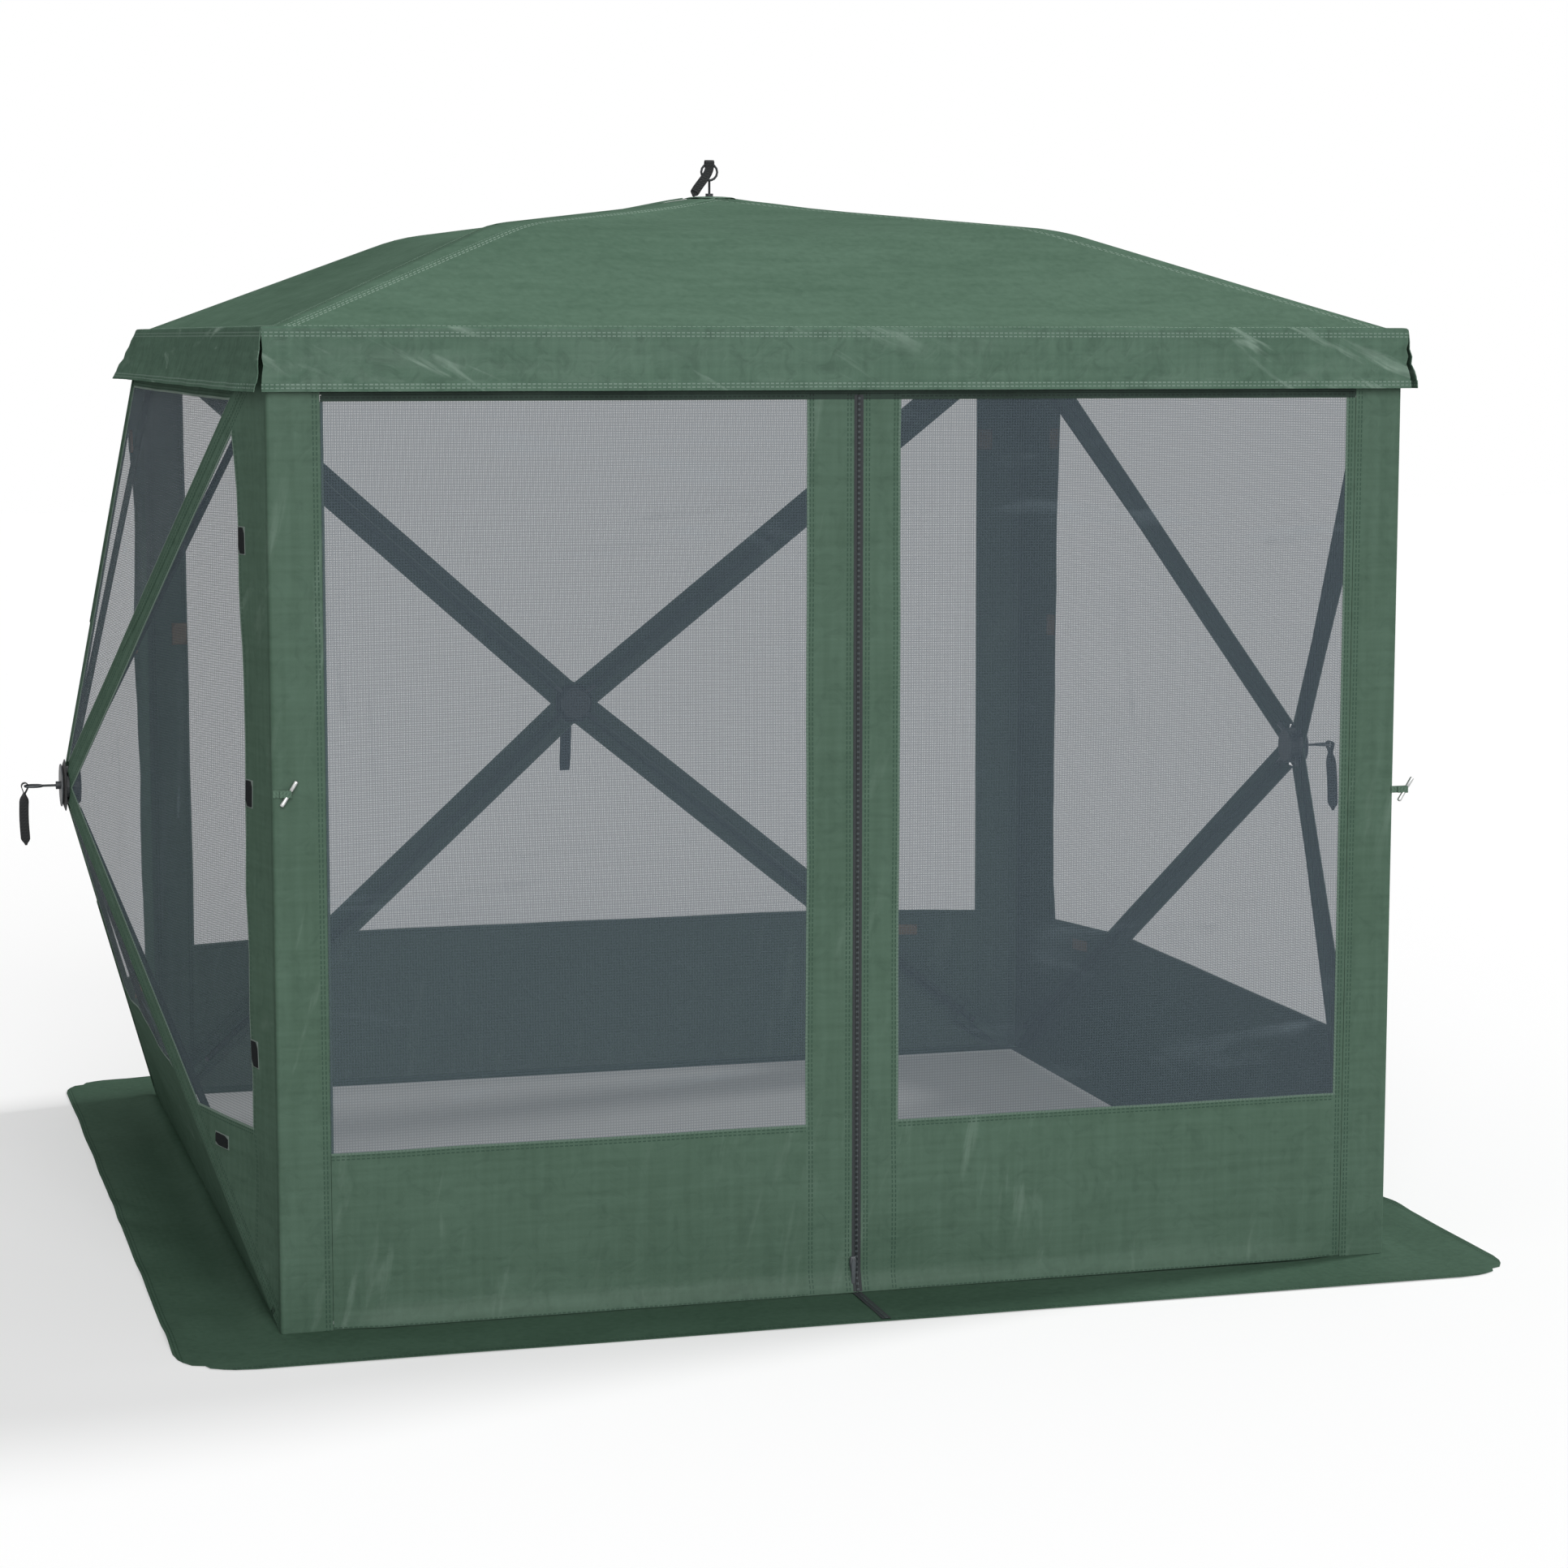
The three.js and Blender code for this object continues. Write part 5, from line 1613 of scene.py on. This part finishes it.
def turned_bar(name, body, middle, way, length, radius, look):
    """A bar with rounded ends and a waist where its tape sits."""
    stations = [(-1.0, 0.0), (-0.995, 0.35), (-0.97, 0.75), (-0.93, 0.97), (-0.85, 1.0),
                (-0.25, 0.98), (-0.2, 0.8), (0.2, 0.8), (0.25, 0.98), (0.85, 1.0),
                (0.93, 0.97), (0.97, 0.75), (0.995, 0.35), (1.0, 0.0)]
    side = way.cross(Vector((0, 1, 0))).normalized()
    other = way.cross(side).normalized()
    ring, points, places_at = 16, [], []
    for share, swell in stations:
        for angle in turns(ring):
            points.append(middle + way * (share * length / 2)
                          + (side * math.cos(angle) + other * math.sin(angle))
                          * max(swell, 0.02) * radius)
            places_at.append((share * length, angle, 0.0))
    faces = grid_faces(len(stations), ring, cyclic=True)
    faces.append(list(range(ring))[::-1])
    faces.append([(len(stations) - 1) * ring + k for k in range(ring)])
    return piece(name, points, faces, body, [look], at=places_at)


for name, (root, level) in TOGGLES.items():
    back = HALF + 0.0018
    start = Vector((root, -back - 0.001 + MIDDLE_Y, level))
    end = start + Vector((TOGGLE_STRAP, 0, 0))
    middle = end + Vector((0, -0.003, 0))
    path = [start + (end - start) * (i / 7) for i in range(7)]
    for i in range(9):
        angle = -math.pi / 2 + math.pi * i / 8
        path.append(middle + Vector((math.cos(angle) * 0.0046, math.sin(angle) * -0.0046, 0)))
    path += [middle + Vector((-0.004 * i, -0.0046 + 0.0012 * min(i, 3), 0)) for i in range(1, 5)]
    body = f"toggle_{name}"
    tape = ribbon(f"toggle_{name}_tape", body, path, [Vector((0, 0, 1))] * len(path),
                  [0.013] * len(path), 0.001, GREEN_TAPE)
    bar_way = Vector((math.cos(BAR_TILT), 0, math.sin(BAR_TILT)))
    bar = turned_bar(f"toggle_{name}_bar", body, middle, bar_way, BAR_LENGTH, BAR_RADIUS,
                     NICKEL)
    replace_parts(bar, body)
    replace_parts(tape, body)


def zip_slider():
    low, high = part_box("zip_slider")
    middle = (low + high) / 2
    bm = bmesh.new()
    top = high.z
    # Body: a shield outline that narrows to its foot, domed outward
    outline = [(-0.0045, -0.028), (0.0045, -0.028), (0.0062, -0.018), (0.0066, -0.008),
               (0.0045, -0.0004), (-0.0045, -0.0004), (-0.0066, -0.008), (-0.0062, -0.018)]
    loops = []
    for depth, scale in ((0.0002, 0.94), (0.0012, 1.0), (0.0042, 0.96), (0.0052, 0.8)):
        loops.append([bm.verts.new((middle.x + x * scale,
                                    high.y - depth,
                                    top + (z + 0.014) * scale - 0.014))
                      for x, z in outline])
    for a, b in zip(loops, loops[1:]):
        for k in range(len(outline)):
            n = (k + 1) % len(outline)
            bm.faces.new((a[k], a[n], b[n], b[k]))
    bm.faces.new(loops[0][::-1])
    bm.faces.new(loops[-1])
    # Pull tab: a flat bar with a rounded foot and a hole, hung from a bridge
    tab = []
    for angle in turns(24):
        cx, cz = math.cos(angle), math.sin(angle)
        wide = 0.0038
        z = top - 0.012 if cz > 0 else low.z + 0.004
        tab.append((middle.x + cx * wide, z + cz * 0.0035))
    hole = []
    for angle in turns(24):
        hole.append((middle.x + math.cos(angle) * 0.0018,
                     low.z + 0.0068 + math.sin(angle) * 0.0026))
    layers = []
    for depth in (0.0054, 0.0068):
        layers.append(([bm.verts.new((x, high.y - depth, z)) for x, z in tab],
                       [bm.verts.new((x, high.y - depth, z)) for x, z in hole]))
    for (outer, inner), flip in ((layers[0], False), (layers[1], True)):
        for k in range(24):
            n = (k + 1) % 24
            quad = (outer[k], outer[n], inner[n], inner[k])
            bm.faces.new(quad[::-1] if flip else quad)
    for part in (0, 1):
        a, b = layers[0][part], layers[1][part]
        for k in range(24):
            n = (k + 1) % 24
            quad = (a[k], b[k], b[n], a[n])
            bm.faces.new(quad if part == 0 else quad[::-1])
    # Bridge over the tab's upper end
    corners = [bm.verts.new((middle.x + x, high.y - y, top + z))
               for z in (-0.013, -0.0045) for y in (0.005, 0.0069) for x in (-0.0015, 0.0015)]
    for quad in ((0, 1, 3, 2), (4, 6, 7, 5), (0, 4, 5, 1), (2, 3, 7, 6), (0, 2, 6, 4),
                 (1, 5, 7, 3)):
        bm.faces.new([corners[k] for k in quad])
    bmesh.ops.recalc_face_normals(bm, faces=bm.faces[:])
    bm.verts.index_update()
    points = [v.co.copy() for v in bm.verts]
    faces = [[v.index for v in f.verts] for f in bm.faces]
    bm.free()
    made = piece("zip_slider_body", points, faces, "zip_slider", [NYLON])
    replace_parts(made, "zip_slider")


zip_slider()
print("toggles", len(TOGGLES), "and slider")

# %% [markdown]
# The studio: a white sweep that keeps only the soft shadow. To the camera the floor adds
# a little glow so that it reads white, while the lamps stay at a plain level.

# %% Floor and world
FLOOR_HALF = 30.0
AMBIENT = 0.36
# Glow that brings the lit floor to the white of the world, so that no edge shows
GLOW_OUTSIDE = 0.4
GLOW_INSIDE = 0.13


def seen_white(tree):
    """1 for a ray from the camera, or one that metal or glass sends on."""
    path = add(tree, "LightPath").outputs
    seen = add(tree, "Math", {0: path["Is Camera Ray"], 1: path["Is Glossy Ray"]},
               operation="MAXIMUM")
    seen = add(tree, "Math", {0: seen.outputs[0], 1: path["Is Transmission Ray"]},
               operation="MAXIMUM")
    return seen.outputs[0]


floor_mesh = bpy.data.meshes.new("floor")
floor_mesh.from_pydata([(x * FLOOR_HALF, y * FLOOR_HALF, 0) for x, y in
                        ((-1, -1), (1, -1), (1, 1), (-1, 1))], [], [(0, 1, 2, 3)])
floor = bpy.data.objects.new("floor", floor_mesh)
bpy.context.scene.collection.objects.link(floor)
material, tree = new_material("studio_floor")
seen = seen_white(tree)
matt = add(tree, "BsdfDiffuse", {"Color": linear("#c3c3c3")})
# Painted shade: less glow on the ground inside the shelter, which lies in the roof's shade
spot = add(tree, "TexCoord").outputs["Object"]
spot = add(tree, "VectorMath", {0: spot, 1: (0.0, -MIDDLE_Y, 0.0)}, operation="ADD")
spot = add(tree, "VectorMath", {0: spot.outputs[0]}, operation="ABSOLUTE")
spot = add(tree, "SeparateXYZ", {0: spot.outputs[0]})
reach = add(tree, "Math", {0: spot.outputs[0], 1: spot.outputs[1]}, operation="MAXIMUM")
outside = add(tree, "MapRange", {"Value": reach.outputs[0], "From Min": HALF - 0.05,
                                 "From Max": HALF + 0.1, "To Min": GLOW_INSIDE,
                                 "To Max": GLOW_OUTSIDE})
glow = add(tree, "Emission", {"Color": (1, 1, 1, 1), "Strength": outside.outputs[0]})
both = add(tree, "AddShader", {0: matt.outputs[0], 1: glow.outputs[0]})
look = add(tree, "MixShader", {0: seen, 1: matt.outputs[0], 2: both.outputs[0]})
finish_material(tree, look)
floor_mesh.materials.append(material)

world = bpy.data.worlds.new("studio")
bpy.context.scene.world = world
world.use_nodes = True
tree = world.node_tree
tree.nodes.clear()
level = add(tree, "MapRange", {"Value": seen_white(tree), "To Min": AMBIENT, "To Max": 1.0})
sky = add(tree, "Background", {"Color": (1, 1, 1, 1), "Strength": level.outputs[0]})
output = add(tree, "OutputWorld")
tree.links.new(sky.outputs[0], output.inputs["Surface"])

# %% [markdown]
# Two sun lamps stand for two large soft boxes. The fill comes from beside the camera,
# low and very wide, and lights the front. The key comes from the right, a little behind
# the front wall. It gives the left wall and the left skirt their shade, and casts the
# shadow that spreads to the left on the floor.

# %% Soft boxes


def soft_box(name, azimuth, height, strength, wide):
    """azimuth is degrees from the front round to the right."""
    lamp = bpy.data.lights.new(name, "SUN")
    lamp.energy, lamp.angle = strength, math.radians(wide)
    obj = bpy.data.objects.new(name, lamp)
    bpy.context.scene.collection.objects.link(obj)
    a, h = math.radians(azimuth), math.radians(height)
    towards = Vector((math.sin(a) * math.cos(h), -math.cos(a) * math.cos(h), math.sin(h)))
    obj.rotation_mode = "QUATERNION"
    obj.rotation_quaternion = towards.to_track_quat("Z", "Y")
    print(name, [round(v, 3) for v in towards])


soft_box("fill", -4, 28, 2.08, 50)
soft_box("key", 103, 35, 2.4, 9)

# %% [markdown]
# The camera stands where the photograph was taken from: eye height, 7.5 m from the
# middle, with a long lens that looks a little down and to the right.

# %% Camera
PHOTO = 1932
FOCAL_PIXELS = 4428
EYE = (-1.8957, -7.2846 + MIDDLE_Y, 1.7573)
PAN, TILT, ROLL = -15.77, -7.055, -0.04  # degrees
lens = bpy.data.cameras.new("camera")
lens.sensor_width = 36.0
lens.lens = FOCAL_PIXELS / PHOTO * lens.sensor_width
lens.clip_end = 200.0
camera = bpy.data.objects.new("camera", lens)
bpy.context.scene.collection.objects.link(camera)
turn = Matrix.Rotation(math.pi / 2, 4, "X")
for degrees, axis in ((ROLL, "Y"), (TILT, "X"), (PAN, "Z")):
    turn = Matrix.Rotation(math.radians(degrees), 4, axis) @ turn
camera.matrix_world = Matrix.Translation(EYE) @ turn
bpy.context.scene.camera = camera
bpy.context.scene.view_settings.view_transform = "Standard"
